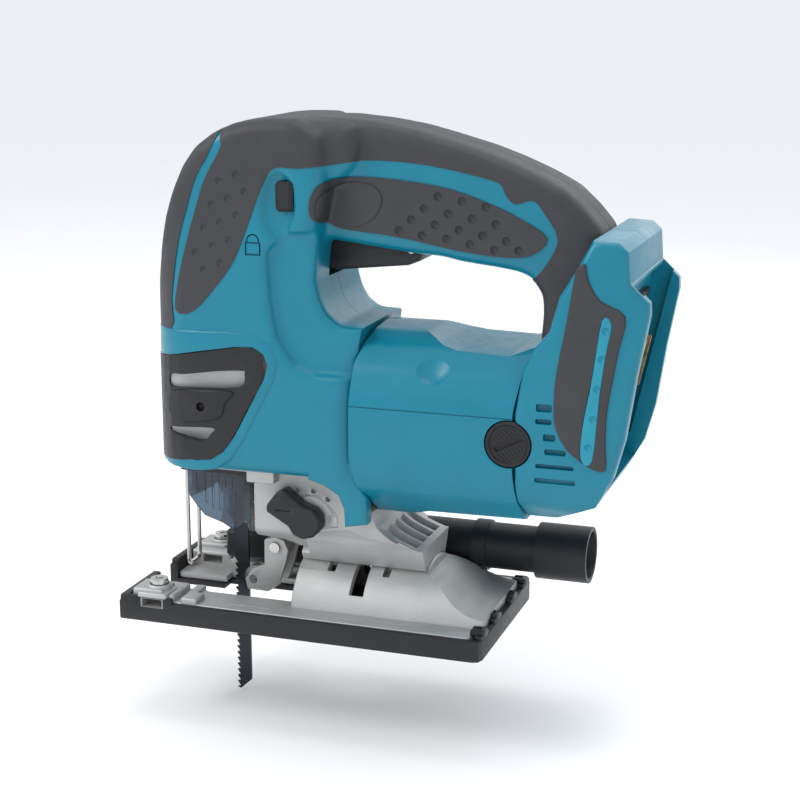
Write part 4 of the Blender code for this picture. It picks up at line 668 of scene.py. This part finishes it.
@dataclass
class Casing(Assembly):
    """Teal clamshells with their rubber overmoulds, pads and cheeks.

    Attributes:
        head_half: Half width of the head.
        handle_half: Half width of the handle.
        blend_half: Half width where the head runs into the handle.
        receiver_half: Half width across the battery rails.
        voxel: Even mesh size of the soft form.
        relax: Smoothing passes of the soft form.
        rubber_lift: Height of the rubber over the form.
        dimple: Radius of the grip dimples.
        seam: Half the gap between the two shells.
        smooth: Edge angle up to which the soft parts are shaded smooth.
        form: Head and handle, while the casing is being made.
    """

    head_half: float = 28.5
    handle_half: float = 17.0
    blend_half: float = 23.0
    receiver_half: float = 34.0
    voxel: float = 1.0
    relax: int = 26
    rubber_lift: float = 0.3
    dimple: float = 1.5
    seam: float = 0.12
    smooth: float = 38.0
    form: bpy.types.Object | None = field(default=None, repr=False)

    def soft_form(self) -> bpy.types.Object:
        """Head and handle as one blended solid."""
        head = Bench.prism("head", HEAD, Axis.Y, -self.head_half, self.head_half, 5.0, 3)
        Bench.keep(head, Bench.prism("plan", HEAD_PLAN, Axis.Z, 30, 230))
        for side, _ in SIDES:
            low, high = span(side, self.head_half - 3.6, 40)
            Bench.cut(head, Bench.prism("waist", WAIST, Axis.Y, low, high))
            low, high = span(side, self.head_half - 2.6, 40)
            Bench.cut(head, Bench.prism("recess", BUTTON_RECESS, Axis.Y, low, high))
        handle = Bench.prism("handle", HANDLE, Axis.Y, -self.handle_half, self.handle_half, 5.0, 3)
        blend = Bench.prism("blend", SHOULDER, Axis.Y, -self.blend_half, self.blend_half, 6.0, 3)
        both = Bench.merged("form", [head, handle, blend])
        return Bench.melted(both, self.voxel, self.relax)

    def receiver(self) -> bpy.types.Object:
        """Section round the battery rails."""
        made = Bench.prism("receiver", RECEIVER, Axis.Y, -self.receiver_half, self.receiver_half, 2.4, 3)
        return Bench.keep(made, Bench.prism("section", RECEIVER_SECTION, Axis.X, 60, 160))

    def slide_cutters(self) -> list[bpy.types.Object]:
        """Pocket and rail grooves that a battery slides down into, leaning with the rear face."""
        lean = (Matrix.Translation(Vector(SLIDE_FOOT) * MM)
                @ Matrix.Rotation(math.radians(SLIDE_LEAN), 4, "Y"))
        made = []
        for low, high in (((-13, -28, 8), (30, 28, 84)), ((-10.4, -31, 16), (-5.6, 31, 90))):
            cutter = Bench.block("slide", low, high)
            cutter.data.transform(lean)
            made.append(cutter)
        return made

    def vents(self) -> list[bpy.types.Object]:
        """Slots of the rear vents on both sides."""
        made = []
        for side, _ in SIDES:
            for x0, x1, z0, z1 in VENTS:
                low, high = span(side, 31.4, 40)
                made.append(Bench.block("vent", (x0, low, z0), (x1, high, z1), 0.7))
        return made

    def dimples(self, places: Sequence[Point2], depth: float, radius: float) -> bpy.types.Object:
        """Shallow round cutters on both sides of the form.

        Args:
            places: Side-view places.
            depth: Depth of each dimple.
            radius: Radius of each dimple's rim.

        Returns:
            One object with all the cutters.
        """
        ball = (radius ** 2 + depth ** 2) / (2 * depth)
        graph = bpy.context.evaluated_depsgraph_get()
        made = []
        for side, _ in SIDES:
            for x, z in places:
                start = Vector((x, side * FAR, z)) * MM
                hit, spot, normal, _ = self.form.ray_cast(start, Vector((0, -side, 0)), depsgraph=graph)
                if not hit:
                    continue
                spot = spot + normal * (ball - depth + self.rubber_lift) * MM
                made.append(Bench.ball("dimple", spot, ball, 20, 14))
        return Bench.merged("dimples", made)

    def skin(self, name: str, outline: Sequence[Point2], lift: float, reach: float) -> bpy.types.Object:
        """Part of the form's surface inside an outline, standing proud by a lift.

        Args:
            name: Object name.
            outline: Side-view outline.
            lift: Height above the form.
            reach: How far it may go to either side.

        Returns:
            A closed solid inside the rounded outline.
        """
        proud = Bench.copy(self.form)
        normals = [vert.normal.copy() for vert in proud.data.vertices]
        for vert, normal in zip(proud.data.vertices, normals):
            vert.co += normal * lift * MM
        Bench.keep(proud, Bench.prism("window", Bench.rounded(outline, 3), Axis.Y, -reach, reach))
        proud.name = name
        return proud

    def build(self) -> None:
        """Make the shells, then the soft parts on them."""
        self.form = self.soft_form()
        shell = Bench.copy(self.form)
        lip = Bench.prism("lip", BAND_LIP, Axis.Y, -29.2, 29.2)
        Bench.keep(lip, Bench.prism("plan", self.grown(HEAD_PLAN, 0.5), Axis.Z, 30, 230))
        Bench.soften(lip, 1.1, 3)
        skirts = []
        for side, _ in SIDES:
            low, high = span(side, 21.5, 27.8)
            skirts.append(Bench.prism("skirt", SKIRT, Axis.Y, low, high, 1.2, 3))
        Bench.join(shell, self.receiver(), lip, *skirts)
        nose = Bench.prism("nose", RELEASE_BAND, Axis.Y, -FAR, FAR)
        under = Bench.block("under", (-82, -20.4, 40), (23, 20.4, 67))
        barrel = Bench.prism("barrel", BARREL_GAP, Axis.Y, -FAR, FAR)
        neck = Bench.drum("neck", Axis.X, (0, MOTOR_Z), 10, 30, 23.5)
        bore = Bench.drum("bore", Axis.X, (0, MOTOR_Z), 80, 99, 29.4)
        slot = Bench.block("slot", *TRIGGER_SLOT)
        caps = Bench.drum("caps", Axis.Y, (CAP_X, MOTOR_Z), -FAR, FAR, CAP_HOLE)
        button = Bench.prism("button", self.obround(*LOCK_BUTTON), Axis.Y, -FAR, FAR)
        drive = Bench.block("drive", (-62, -21.4, 60), (1, 21.4, 176), 4)
        Bench.cut(shell, nose, under, barrel, neck, bore, slot, caps, button, drive, *self.slide_cutters())
        Bench.cut(shell, Bench.merged("vents", self.vents()))
        Bench.cut(shell, *self.side_marks(), self.dimples(PANEL_DIMPLES, 1.0, self.dimple + 0.3),
                  self.dimples(PAD_DIMPLES, 1.1, self.dimple + 0.4))
        self.halves(shell, "casing", TEAL, "housing", self.seam)

        rubber = self.skin("grip_cover", TOP_RUBBER, self.rubber_lift, FAR)
        Bench.cut(rubber, self.dimples(PANEL_DIMPLES, 0.75, self.dimple), Bench.block("slot", *TRIGGER_SLOT))
        self.halves(rubber, "grip_cover", RUBBER, "overmould", self.seam)

        pads = self.skin("pads", SIDE_PAD, 0.55, FAR)
        Bench.cut(pads, Bench.block("middle", (-50, -13.5, 100), (150, 13.5, 220)),
                  self.dimples(PAD_DIMPLES, 0.8, self.dimple))
        ovals = self.skin("ovals", PAD_OVAL, 1.0, FAR)
        Bench.cut(ovals, Bench.block("middle", (-50, -14, 100), (150, 14, 220)))
        Bench.join(pads, ovals)
        self.halves(pads, "thumb_pad", RUBBER, "side_pad", 5)

        strip = self.skin("strip", NOSE_STRIP, 0.35, 40)
        self.fit(strip, "nose_strip", RUBBER, ["nose_bumper"], smooth=self.smooth)
        self.release_band()

        for side, name in SIDES:
            self.cheek(side, name)
        bpy.data.objects.remove(self.form)

    def halves(self, whole: bpy.types.Object, name: str, finish: Finish, node: str, inner: float) -> None:
        """Fit the left and right halves of a solid, and drop the whole.

        Args:
            whole: The solid.
            name: Piece name, before its side.
            finish: Surface of both halves.
            node: Frame node that they stand for, before its side.
            inner: Distance of each half from the middle plane.
        """
        for side, suffix in SIDES:
            low, high = span(side, inner, FAR)
            half = Bench.keep(Bench.copy(whole), Bench.block("half", (-100, low, 0), (200, high, 300)))
            self.fit(half, f"{name}_{suffix}", finish, [f"{node}_{suffix}"], smooth=self.smooth)
        bpy.data.objects.remove(whole)

    def cheek(self, side: int, name: str) -> None:
        """Rubber cheek beside the battery rails, with its bright insert.

        Args:
            side: -1 for the left, 1 for the right.
            name: left or right.
        """
        low, high = span(side, 31.6, 34.9)
        cheek = Bench.prism("cheek", Bench.rounded(CHEEK, 3), Axis.Y, low, high, 0.7, 3)
        low, high = span(side, 33.4, 40)
        Bench.cut(cheek, Bench.prism("bed", Bench.rounded(CHEEK_INSERT, 3), Axis.Y, low, high))
        self.fit(cheek, f"cheek_{name}", RUBBER)
        low, high = span(side, 32.6, 34.8)
        strip = Bench.prism("insert", self.shrunk(CHEEK_INSERT, 0.2), Axis.Y, low, high, 0.3, 2)
        balls = [Bench.ball("ball", Vector((x, side * 35.6, z)) * MM, 1.6, 16, 10)
                 for x, z in INSERT_DIMPLES]
        Bench.cut(strip, Bench.merged("balls", balls))
        self.fit(strip, f"cheek_insert_{name}", TEAL_BRIGHT)

    def release_band(self) -> None:
        """Hinged band round the nose, open twice on the left, and the fixed cover behind its hinge."""
        band = Bench.prism("band", Bench.rounded(self.shrunk(RELEASE_BAND, 0.4), 4), Axis.Y, -FAR, FAR)
        Bench.keep(band, Bench.prism("plan", self.grown(HEAD_PLAN, 0.9), Axis.Z, 30, 230))
        Bench.cut(band, Bench.prism("inner", self.shrunk(HEAD_PLAN, 2.4), Axis.Z, 30, 230),
                  Bench.prism("high", Bench.rounded(WINDOW_HIGH, 3), Axis.Y, -FAR, 0),
                  Bench.prism("low", Bench.rounded(WINDOW_LOW, 3), Axis.Y, -FAR, 0))
        Bench.soften(band, 0.9, 3, 35)
        bar = Bench.prism("bar", Bench.rounded(BAND_BAR, 3), Axis.Y, -30.4, -25.4, 1.3, 3)
        Bench.keep(bar, Bench.prism("plan", self.grown(HEAD_PLAN, 1.9), Axis.Z, 30, 230))
        fixed = Bench.keep(Bench.copy(band), Bench.block("right", (HINGE_GAP[1], 0, 40), (40, FAR, 140)))
        Bench.cut(band, Bench.block("right", (HINGE_GAP[0], 0, 40), (40, FAR, 140)))
        Bench.join(band, bar)
        Bench.cut(band, self.dimples([(-41, 88.4)], 1.0, 1.7))
        self.fit(band, "release_band", BLACK, ["blade_release_lever"], "release_lever")
        self.fit(fixed, "nose_cover", BLACK)

    def side_marks(self) -> list[bpy.types.Object]:
        """Shallow engraved padlock sign beside the lock button, on the left."""
        made = []
        y = -27.5
        section = [(2.1, -0.3), (2.6, -0.3), (2.6, 3), (2.1, 3)]
        loop = Bench.turned("loop", section, Axis.Y, (-18.4, 154), 24, True)
        loop.data.transform(Matrix.Translation((0, (y - 1) * MM, 0)))
        Bench.cut(loop, Bench.block("lower", (-24, -60, 148), (-12, 60, 153.6)))
        made.append(loop)
        for low, high in (((-21.6, y, 152.9), (-15.2, y, 153.6)), ((-21.6, y, 148.4), (-15.2, y, 149.1)),
                          ((-21.6, y, 149.1), (-20.9, y, 152.9)), ((-15.9, y, 149.1), (-15.2, y, 152.9))):
            made.append(Bench.block("mark", (low[0], y - 3, low[2]), (high[0], y, high[2])))
        return made

    @staticmethod
    def obround(x: float, z: float, half_x: float, half_z: float, steps: int = 10) -> list[Point2]:
        """Upright slot outline with round ends."""
        ring = []
        for turn, sign in ((0, 1), (math.pi, -1)):
            for k in range(steps + 1):
                angle = turn + math.pi * k / steps
                middle = z + sign * (half_z - half_x)
                ring.append((x + half_x * math.cos(angle), middle + half_x * math.sin(angle)))
        return ring

    @staticmethod
    def grown(points: Sequence[Point2], amount: float) -> list[Point2]:
        """Outline pushed away from its middle."""
        middle = Vector((sum(p[0] for p in points), sum(p[1] for p in points))) / len(points)
        return [tuple(Vector(p) + (Vector(p) - middle).normalized() * amount) for p in points]

    @staticmethod
    def shrunk(points: Sequence[Point2], amount: float) -> list[Point2]:
        """Smoothed outline drawn towards its middle."""
        ring = Bench.rounded(points, 3)
        middle = Vector((sum(p[0] for p in ring), sum(p[1] for p in ring))) / len(ring)
        return [tuple(Vector(p) + (middle - Vector(p)).normalized() * amount) for p in ring]


@dataclass
class Barrel(Assembly):
    """Faceted motor housing between the head and the battery receiver.

    Attributes:
        edge: Bevel of its rims.
        shell_half: Half width at the flat of its sides.
    """

    edge: float = 0.45
    shell_half: float = 33.2

    def build(self) -> None:
        """Make the faceted shell, its seam and the two brush caps."""
        section = BARREL_SECTION + [(-y, z) for y, z in reversed(BARREL_SECTION[1:-1])]
        shell = Bench.prism("barrel", section, Axis.X, 16, 98)
        Bench.soften(shell, 1.6, 3, 4.0)
        Bench.keep(shell, Bench.prism("side", BARREL_SIDE, Axis.Y, -FAR, FAR))
        scoops = []
        for side, _ in SIDES:
            bm = bmesh.new()
            bmesh.ops.create_uvsphere(bm, u_segments=64, v_segments=40, radius=1.0)
            bmesh.ops.scale(bm, vec=Vector((14, 11, 18)) * MM, verts=bm.verts)
            bmesh.ops.translate(bm, vec=Vector((53, side * 34.6, 121)) * MM, verts=bm.verts)
            scoops.append(Bench.obj(bm, "scoop"))
        Bench.cut(shell, *scoops)
        Bench.cut(shell, Bench.drum("bore", Axis.X, (0, MOTOR_Z), 10, 120, 29.0))
        seams = []
        for side, _ in SIDES:
            low, high = span(side, self.shell_half, 40)
            seams.append(Bench.block("seam", (10, low, SEAM_Z[0]), (100, high, SEAM_Z[1])))
        Bench.cut(shell, *seams)
        Bench.cut(shell, Bench.drum("caps", Axis.Y, (CAP_X, MOTOR_Z), -FAR, FAR, CAP_HOLE))
        Bench.soften(shell, self.edge, 2, 40.0)
        self.fit(shell, "motor_shell", TEAL, ["motor_housing"], smooth=20)
        for side, name in SIDES:
            self.brush_cap(side, name)

    def brush_cap(self, side: int, name: str) -> None:
        """Round screwed cap with a slanted coin slot and a knurled face.

        Args:
            side: -1 for the left, 1 for the right.
            name: left or right.
        """
        profile = [(0, 24), (8.7, 24), (8.7, 33.4), (8.3, 33.9), (7.5, 33.9), (7.2, 33.4), (6.9, 33.1),
                   (0, 33.1)]
        cap = Bench.turned("cap", [(r, -w) for r, w in profile], Axis.Y, (CAP_X, MOTOR_Z), 64)
        slot = Bench.block("slot", (-5.6, -40, -0.9), (5.6, 40, 0.9), 0.3)
        slot.data.transform(Matrix.Translation(Vector((CAP_X, -71.9, MOTOR_Z)) * MM)
                            @ Matrix.Rotation(math.radians(-28), 4, "Y"))
        cuts = [slot]
        for k in range(-4, 5):
            for turn in (-45, 45):
                reach, height = 6.1 * math.cos(k / 4.8), k * 1.35
                bar = Bench.block("knurl", (-reach, -20, height - 0.16), (reach, 20, height + 0.16))
                bar.data.transform(Matrix.Translation(Vector((CAP_X, -52.9, MOTOR_Z)) * MM)
                                   @ Matrix.Rotation(math.radians(turn), 4, "Y"))
                cuts.append(bar)
        Bench.cut(cap, *cuts)
        if side > 0:
            cap.data.transform(Matrix.Diagonal((1, -1, 1, 1)))
            cap.data.flip_normals()
        self.fit(cap, f"cap_{name}", BLACK, [f"brush_cap_{name}"])


@dataclass
class Base(Assembly):
    """Tilting base: plastic sole shoe, cast plate with its hump, and the dust nozzle.

    Attributes:
        body: Body that all of it rides on.
        half_length: Half length of the shoe.
        half_width: Half width of the shoe.
        wall_top: Height of the shoe's side walls.
        cap_top: Height of its front end.
        wall: Thickness of its side walls.
        fence_x: Middle of the rip-fence passages.
        fence_z: Their height.
        hump: Radius of the hump that the base tilts on.
        screw_y: Distance of the fence screws from the middle plane.
        shoulder: Inner edge of the casting's flat shoulders.
        plate_half: Half width of the casting.
        clips: Inner edges of the rear clips.
    """

    body: str = "base"
    half_length: float = 75.2
    half_width: float = 38.5
    wall_top: float = 8.5
    cap_top: float = 10.6
    wall: float = 2.2
    fence_x: float = -61.0
    fence_z: float = 8.1
    hump: float = 27.5
    screw_y: float = 30.8
    shoulder: float = 19.5
    plate_half: float = 36.0
    clips: tuple[float, float] = (9.0, 27.5)

    def build(self) -> None:
        """Make the shoe, the casting, the screws and the nozzle."""
        self.shoe()
        self.casting()
        for _, side in SIDES:
            screw = Bench.refined(f"fence_screw_{side}", "screw", 0.25)
            self.fit(screw, f"clamp_screw_{side}", STEEL, [f"fence_screw_{side}"])
        nozzle = Bench.refined("dust_nozzle", "nozzle", 0.5)
        self.fit(nozzle, "dust_pipe", BLACK, ["dust_nozzle"], smooth=24)

    def windows(self, grow: float) -> list[bpy.types.Object]:
        """Blade slot and window through the base.

        Args:
            grow: Growth of each edge, millimetres.

        Returns:
            The cutters.
        """
        return [Bench.block("slot", (-90, -7.25 - grow, -9), (-49, 7.25 + grow, 30)),
                Bench.block("window", (-50, -13.5 - grow, -9), (-12, 13.5 + grow, 30))]

    def fences(self, half_x: float, half_z: float, inner: float) -> list[bpy.types.Object]:
        """Passages for a rip fence through both sides.

        Args:
            half_x: Half width of a passage.
            half_z: Half height of a passage.
            inner: Where it starts, from the middle plane.

        Returns:
            The two cutters.
        """
        made = []
        for side, _ in SIDES:
            low, high = span(side, inner, 50)
            made.append(Bench.block("fence", (self.fence_x - half_x, low, self.fence_z - half_z),
                                    (self.fence_x + half_x, high, self.fence_z + half_z)))
        return made

    def shoe(self) -> None:
        """Black tray with end caps at the front and clips at the rear."""
        x, y, r = self.half_length, self.half_width, 3.5
        corners = [(-x, -y), (x - r, -y), (x - r * 0.29, -y + r * 0.29), (x, -y + r), (x, y - r),
                   (x - r * 0.29, y - r * 0.29), (x - r, y), (-x, y)]
        shoe = Bench.prism("shoe", corners, Axis.Z, 0, self.wall_top, 0.7, 3)
        extra = []
        for side, _ in SIDES:
            low, high = span(side, 8, y)
            extra.append(Bench.block("cap", (-x, low, 0.2), (-x + 4, high, self.cap_top), 1.2, 3))
            low, high = span(side, y - self.wall, y)
            extra.append(Bench.block("step", (-x + 1, low, 0.2), (-52, high, self.cap_top), 0.8, 2))
            for inner in self.clips:
                low, high = span(side, inner, inner + 6)
                extra.append(Bench.block("clip", (x - 5.8, low, 1), (x - 0.1, high, 11.2), 0.8, 2))
                extra.append(Bench.block("clip_bar", (x - 3.2, low - 2.2, 6),
                                         (x - 0.2, high + 2.2, 9.8), 0.6))
        Bench.join(shoe, *extra)
        inside = y - self.wall
        Bench.cut(shoe, Bench.block("tray", (-x + 3.4, -inside, 2), (x - 2.2, inside, 8.9)),
                  Bench.block("front_tray", (-x + 3.4, -inside, 8), (x - 6.4, inside, 30)),
                  *self.windows(0), Bench.block("key", (14, -12, -9), (26, 12, 9)),
                  *self.fences(4.9, 1.9, 20))
        clips = []
        for side, _ in SIDES:
            for inner in self.clips:
                low, high = span(side, inner + 1.8, inner + 4.2)
                clips.append(Bench.block("notch", (x - 6.5, low, 7.4), (x - 1.8, high, 20)))
        Bench.cut(shoe, *clips)
        Bench.soften(shoe, 0.25, 2, 50)
        self.fit(shoe, "sole_shoe", BLACK, ["sole_cover"])

    def casting(self) -> None:
        """Cast plate: shoulders, hump, concave rear slope, fence brackets, bosses and scale lines."""
        wide = self.plate_half
        plate = Bench.block("plate", (-71.5, -wide, 2.3), (72.6, wide, 4.7))
        parts = []
        x0, x1, r = -54.0, 70.8, 4.0
        for side, _ in SIDES:
            ring = [(x0, side * self.shoulder), (x0, side * wide), (x1 - r, side * wide),
                    (x1 - 1.2, side * (wide - 1.2)), (x1, side * (wide - r)), (x1, side * self.shoulder)]
            parts.append(Bench.prism("shoulder", ring, Axis.Z, 3.5, 8.8, 0.8, 3))
            low, high = span(side, self.shoulder, wide)
            parts.append(Bench.block("bracket", (-70.8, low, 2.4), (-52.4, high, 11.4), 1.2, 3))
            low, high = span(side, 27, 38.3)
            parts.append(Bench.block("cheek", (-67.4, low, 4.6), (-54.6, high, 12.2), 0.9, 3))
            low, high = span(side, 24.5, 36.6)
            parts.append(Bench.block("pad", (-70.2, low, 9), (-57, high, 13.2), 1.0, 3))
            parts.append(Bench.drum("boss", Axis.Z, (self.fence_x, side * self.screw_y), 9, 14.2, 5.1,
                                    0.6, 48))
            low, high = span(side, 27.4, wide)
            parts.append(Bench.block("stop", (-49.5, low, 7), (-42.6, high, 10.9), 0.8, 3))
            low, high = span(side, 16.4, 26.5)
            parts.append(Bench.block("rib", (-51, low, 7), (-47, high, 10.0), 0.7, 2))
            for a, b, y in SCALE_LINES:
                low, high = span(side, y, y + 0.55)
                parts.append(Bench.block("line", (a, low, 8.2), (b, high, 9.05), 0.12))
        Bench.join(plate, *parts)
        hump = Bench.drum("hump", Axis.X, (0, 0), -6.6, 46.4, self.hump, 0.7, 160)
        slope = Bench.drum("slope", Axis.X, (0, 0), 44, 72.4, self.hump - 0.05, 0.6, 160)
        Bench.keep(slope, Bench.prism("curve", HOOD_SLOPE, Axis.Y, -40, 40))
        Bench.join(hump, slope)
        Bench.cut(hump, Bench.block("below", (-90, -50, -50), (90, 50, 3)))
        Bench.join(plate, hump)
        key = Bench.block("slot", (17, -22.9, 8), (23, 20, 40))
        notches = [Bench.block("notch", (x, -16.5, 20), (x + w, -9.5, 40), 0.5)
                   for x, w in ((5.6, 3.4), (28.6, 3.0))]
        bore = Bench.drum("bore", Axis.X, (0, 0), -3, 42.5, self.hump - 3.4, 0, 96)
        rear = Bench.block("pocket", (50, -19, -5), (69, 19, 9), 2)
        Bench.cut(plate, bore, key, *notches, *self.windows(1.8), *self.fences(4.4, 1.7, 8), rear)
        threads = [Bench.drum("thread", Axis.Z, (self.fence_x, side * self.screw_y), 8, 60, 3.9, 0, 32)
                   for side, _ in SIDES]
        Bench.cut(plate, *threads)
        Bench.soften(plate, 0.3, 2, 42)
        self.fit(plate, "base_casting", CAST, ["base_plate"], smooth=30)


@dataclass
class Drive(Assembly):
    """Cast gear housing, its levers and the moving parts round the blade."""

    def build(self) -> None:
        """Refine the working parts."""
        self.housing()
        lever = Bench.refined("orbit_lever", "lever", 1.3, 4)
        Bench.join(lever, Bench.drum("hub", Axis.Y, LEVER_PIVOT, -27.6, -21, 6.0, 0.9, 48))
        Bench.cut(lever, Bench.block("line", (-11.5, -40, 48.4), (-5.5, -27.1, 49.0)))
        self.fit(lever, "orbit_knob", BLACK, ["orbit_lever"], "orbit_lever")
        arm = Bench.refined("blade_retainer", "arm", 0.6, 3)
        self.fit(arm, "retainer_arm", CAST, ["blade_retainer"], "retainer")
        trigger = Bench.refined("trigger", "trigger", 1.4, 4)
        self.fit(trigger, "trigger_key", BLACK, ["trigger"], "trigger")
        self.chip_guard()

    def housing(self) -> None:
        """Gear housing with its curved, ribbed foot, the lever's marks and the rails under the nose."""
        case = Bench.refined("gear_housing", "case", 0.0)
        Bench.cut(case, Bench.prism("above", FOOT_TOP, Axis.Y, -40, 40))
        for low, high in FOOT_RIBS:
            Bench.cut(case, Bench.prism("pocket", FOOT_POCKET, Axis.Y, low, high))
        plate = [v.co for v in case.data.vertices if -0.02 < v.co.x < 0.01 and 0.046 < v.co.z < 0.057]
        face = min(point.y for point in plate) / MM
        dots = [Bench.drum("dot", Axis.Y, place, face - 2, face + 2.4, 1.1, 0, 24) for place in DETENTS]
        arc = Bench.turned("arc", [(8.7, face - 2), (9.2, face - 2), (9.2, face + 0.35), (8.7, face + 0.35)],
                           Axis.Y, LEVER_PIVOT, 72, True)
        Bench.cut(arc, Bench.block("low", (-20, -40, 30), (30, 0, 47)))
        square = Bench.block("square", (7.4, face - 2, 41.4), (11.8, face + 0.3, 46.4))
        Bench.cut(square, Bench.block("inside", (7.9, face - 3, 41.9), (11.3, face + 1, 45.9)))
        Bench.cut(case, *dots, arc, square, Bench.block("flange", (-90, -40, 56), (-24.3, 40, 62.4)))
        Bench.soften(case, 0.3, 2, 50)
        self.fit(case, "gear_case", CAST, ["gear_housing"], smooth=30)
        for side, name in SIDES:
            low, high = span(side, 15.6, 19.2)
            rail = Bench.block("rail", (-56, low, 58.6), (-24.6, high, 62.2), 0.8, 2)
            self.fit(rail, f"nose_rail_{name}", BLACK)

    def chip_guard(self) -> None:
        """Clear cover in front of the blade, with upright grooves."""
        cover = Bench.refined("chip_cover", "cover", 0.35, 2)
        face = min(v.co.y for v in cover.data.vertices) / MM
        top = max(v.co.z for v in cover.data.vertices) / MM
        grooves = []
        for x, drop in COVER_GROOVES:
            for side, _ in SIDES:
                low, high = span(side, abs(face) - 0.5, abs(face) + 1)
                grooves.append(Bench.block("groove", (x, low, top - drop), (x + 1.1, high, top - 1.2), 0.2))
        Bench.cut(cover, *grooves)
        self.fit(cover, "chip_guard", CLEAR, ["chip_cover"], "chip_cover")


@dataclass
class Studio:
    """Floor, lights and camera, in metres and degrees.

    Attributes:
        floor_z: Height of the floor, under the blade's tip.
        azimuth: Camera's turn from the left side towards the rear.
        elevation: Camera's angle over the horizon.
        distance: Camera's distance from its target.
        target: Point that the camera and the lamps look at.
        lens: Focal length on a 36 mm sensor.
    """

    floor_z: float = -0.0412
    azimuth: float = 18.7
    elevation: float = 13.6
    distance: float = 0.6675
    target: Point3 = (0.0305, 0.0, 0.0897)
    lens: float = 76.8

    def build(self) -> None:
        """Place everything that isn't part of the saw."""
        bm = bmesh.new()
        bmesh.ops.create_grid(bm, x_segments=1, y_segments=1, size=40.0)
        bmesh.ops.translate(bm, vec=(0, 0, self.floor_z), verts=bm.verts)
        floor = Bench.obj(bm, "floor")
        floor.data.materials.append(FLOOR.material())
        world = bpy.data.worlds.new("studio")
        bpy.context.scene.world = world
        world.use_nodes = True
        world.node_tree.nodes["Background"].inputs["Color"].default_value = (0.93, 0.96, 1.0, 1)
        world.node_tree.nodes["Background"].inputs["Strength"].default_value = 0.92
        self.lamp("key", (-0.75, -0.6, 0.85), 0.5, 6.0)
        self.lamp("fill", (0.9, -0.7, 0.3), 0.7, 0.6)
        self.lamp("top", (0.1, 0.1, 1.2), 0.6, 3.6)
        self.lamp("rim", (0.3, 0.9, 0.6), 0.8, 2.0)
        aim = Vector(self.target)
        a, e = math.radians(self.azimuth), math.radians(self.elevation)
        back = Vector((math.sin(a) * math.cos(e), -math.cos(a) * math.cos(e), math.sin(e)))
        camera = bpy.data.objects.new("camera", bpy.data.cameras.new("camera"))
        camera.data.lens = self.lens
        camera.data.sensor_width = SENSOR_WIDTH
        camera.data.clip_start = 0.01
        camera.location = aim + back * self.distance
        camera.rotation_euler = (-back).to_track_quat("-Z", "Y").to_euler()
        bpy.context.scene.collection.objects.link(camera)
        bpy.context.scene.camera = camera
        bpy.context.scene.view_settings.view_transform = "Standard"

    def lamp(self, name: str, place: Point3, size: float, watts: float) -> None:
        """Square soft light aimed at the saw."""
        light = bpy.data.lights.new(name, "AREA")
        light.energy = watts
        light.size = size
        holder = bpy.data.objects.new(name, light)
        holder.location = place
        holder.rotation_euler = (Vector(self.target) - Vector(place)).to_track_quat("-Z", "Y").to_euler()
        bpy.context.scene.collection.objects.link(holder)


KEPT: dict[Finish, tuple[str, ...]] = {
    TEAL: ("motor_housing",),
    RUBBER: ("overmould_left", "overmould_right", "side_pad_left", "side_pad_right", "nose_bumper"),
    BLACK: ("armature_core", "blade_release_lever", "brush_cap_left", "brush_cap_right", "dust_nozzle",
            "lock_button", "orbit_lever", "sole_cover", "switch_body", "terminal_block", "trigger",
            "cooling_fan", "bearing_carrier"),
    CAST: ("gear_housing", "base_plate", "counterweight"),
    STEEL: ("ram", "blade_clamp", "blade_roller", "blade_retainer", "ram_guide", "gear_shaft",
            "front_bearing", "rear_bearing", "armature_shaft", "pinion", "drive_gear", "tilt_washer",
            "wire_guard", "motor_yoke", "retainer_pin", "roller_pin", "release_pin", "trigger_pin",
            "orbit_shaft"),
    BLUED: ("blade",),
    SCREW: ("fence_screw_left", "fence_screw_right", "housing_screw_1", "housing_screw_2", "housing_screw_3",
            "housing_screw_4", "tilt_bolt"),
    COPPER: ("commutator",),
    BRASS: ("terminal_blades", "brush_holder_left", "brush_holder_right"),
    CARBON: ("carbon_brush_left", "carbon_brush_right", "magnet_lower", "magnet_upper"),
    CLEAR: ("chip_cover",),
    TEAL_BRIGHT: ("housing_left", "housing_right"),
}


def dress_frame() -> None:
    """Give every node of the frame its finish."""
    for finish, names in KEPT.items():
        for name in names:
            coat(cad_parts[name].data, finish)


def main() -> None:
    """Build the saw round its frame."""
    logging.basicConfig(level=logging.INFO, format="%(message)s")
    Studio().build()
    dress_frame()
    Casing().build()
    Barrel().build()
    Base().build()
    Drive().build()


if __name__ == "__main__":
    main()
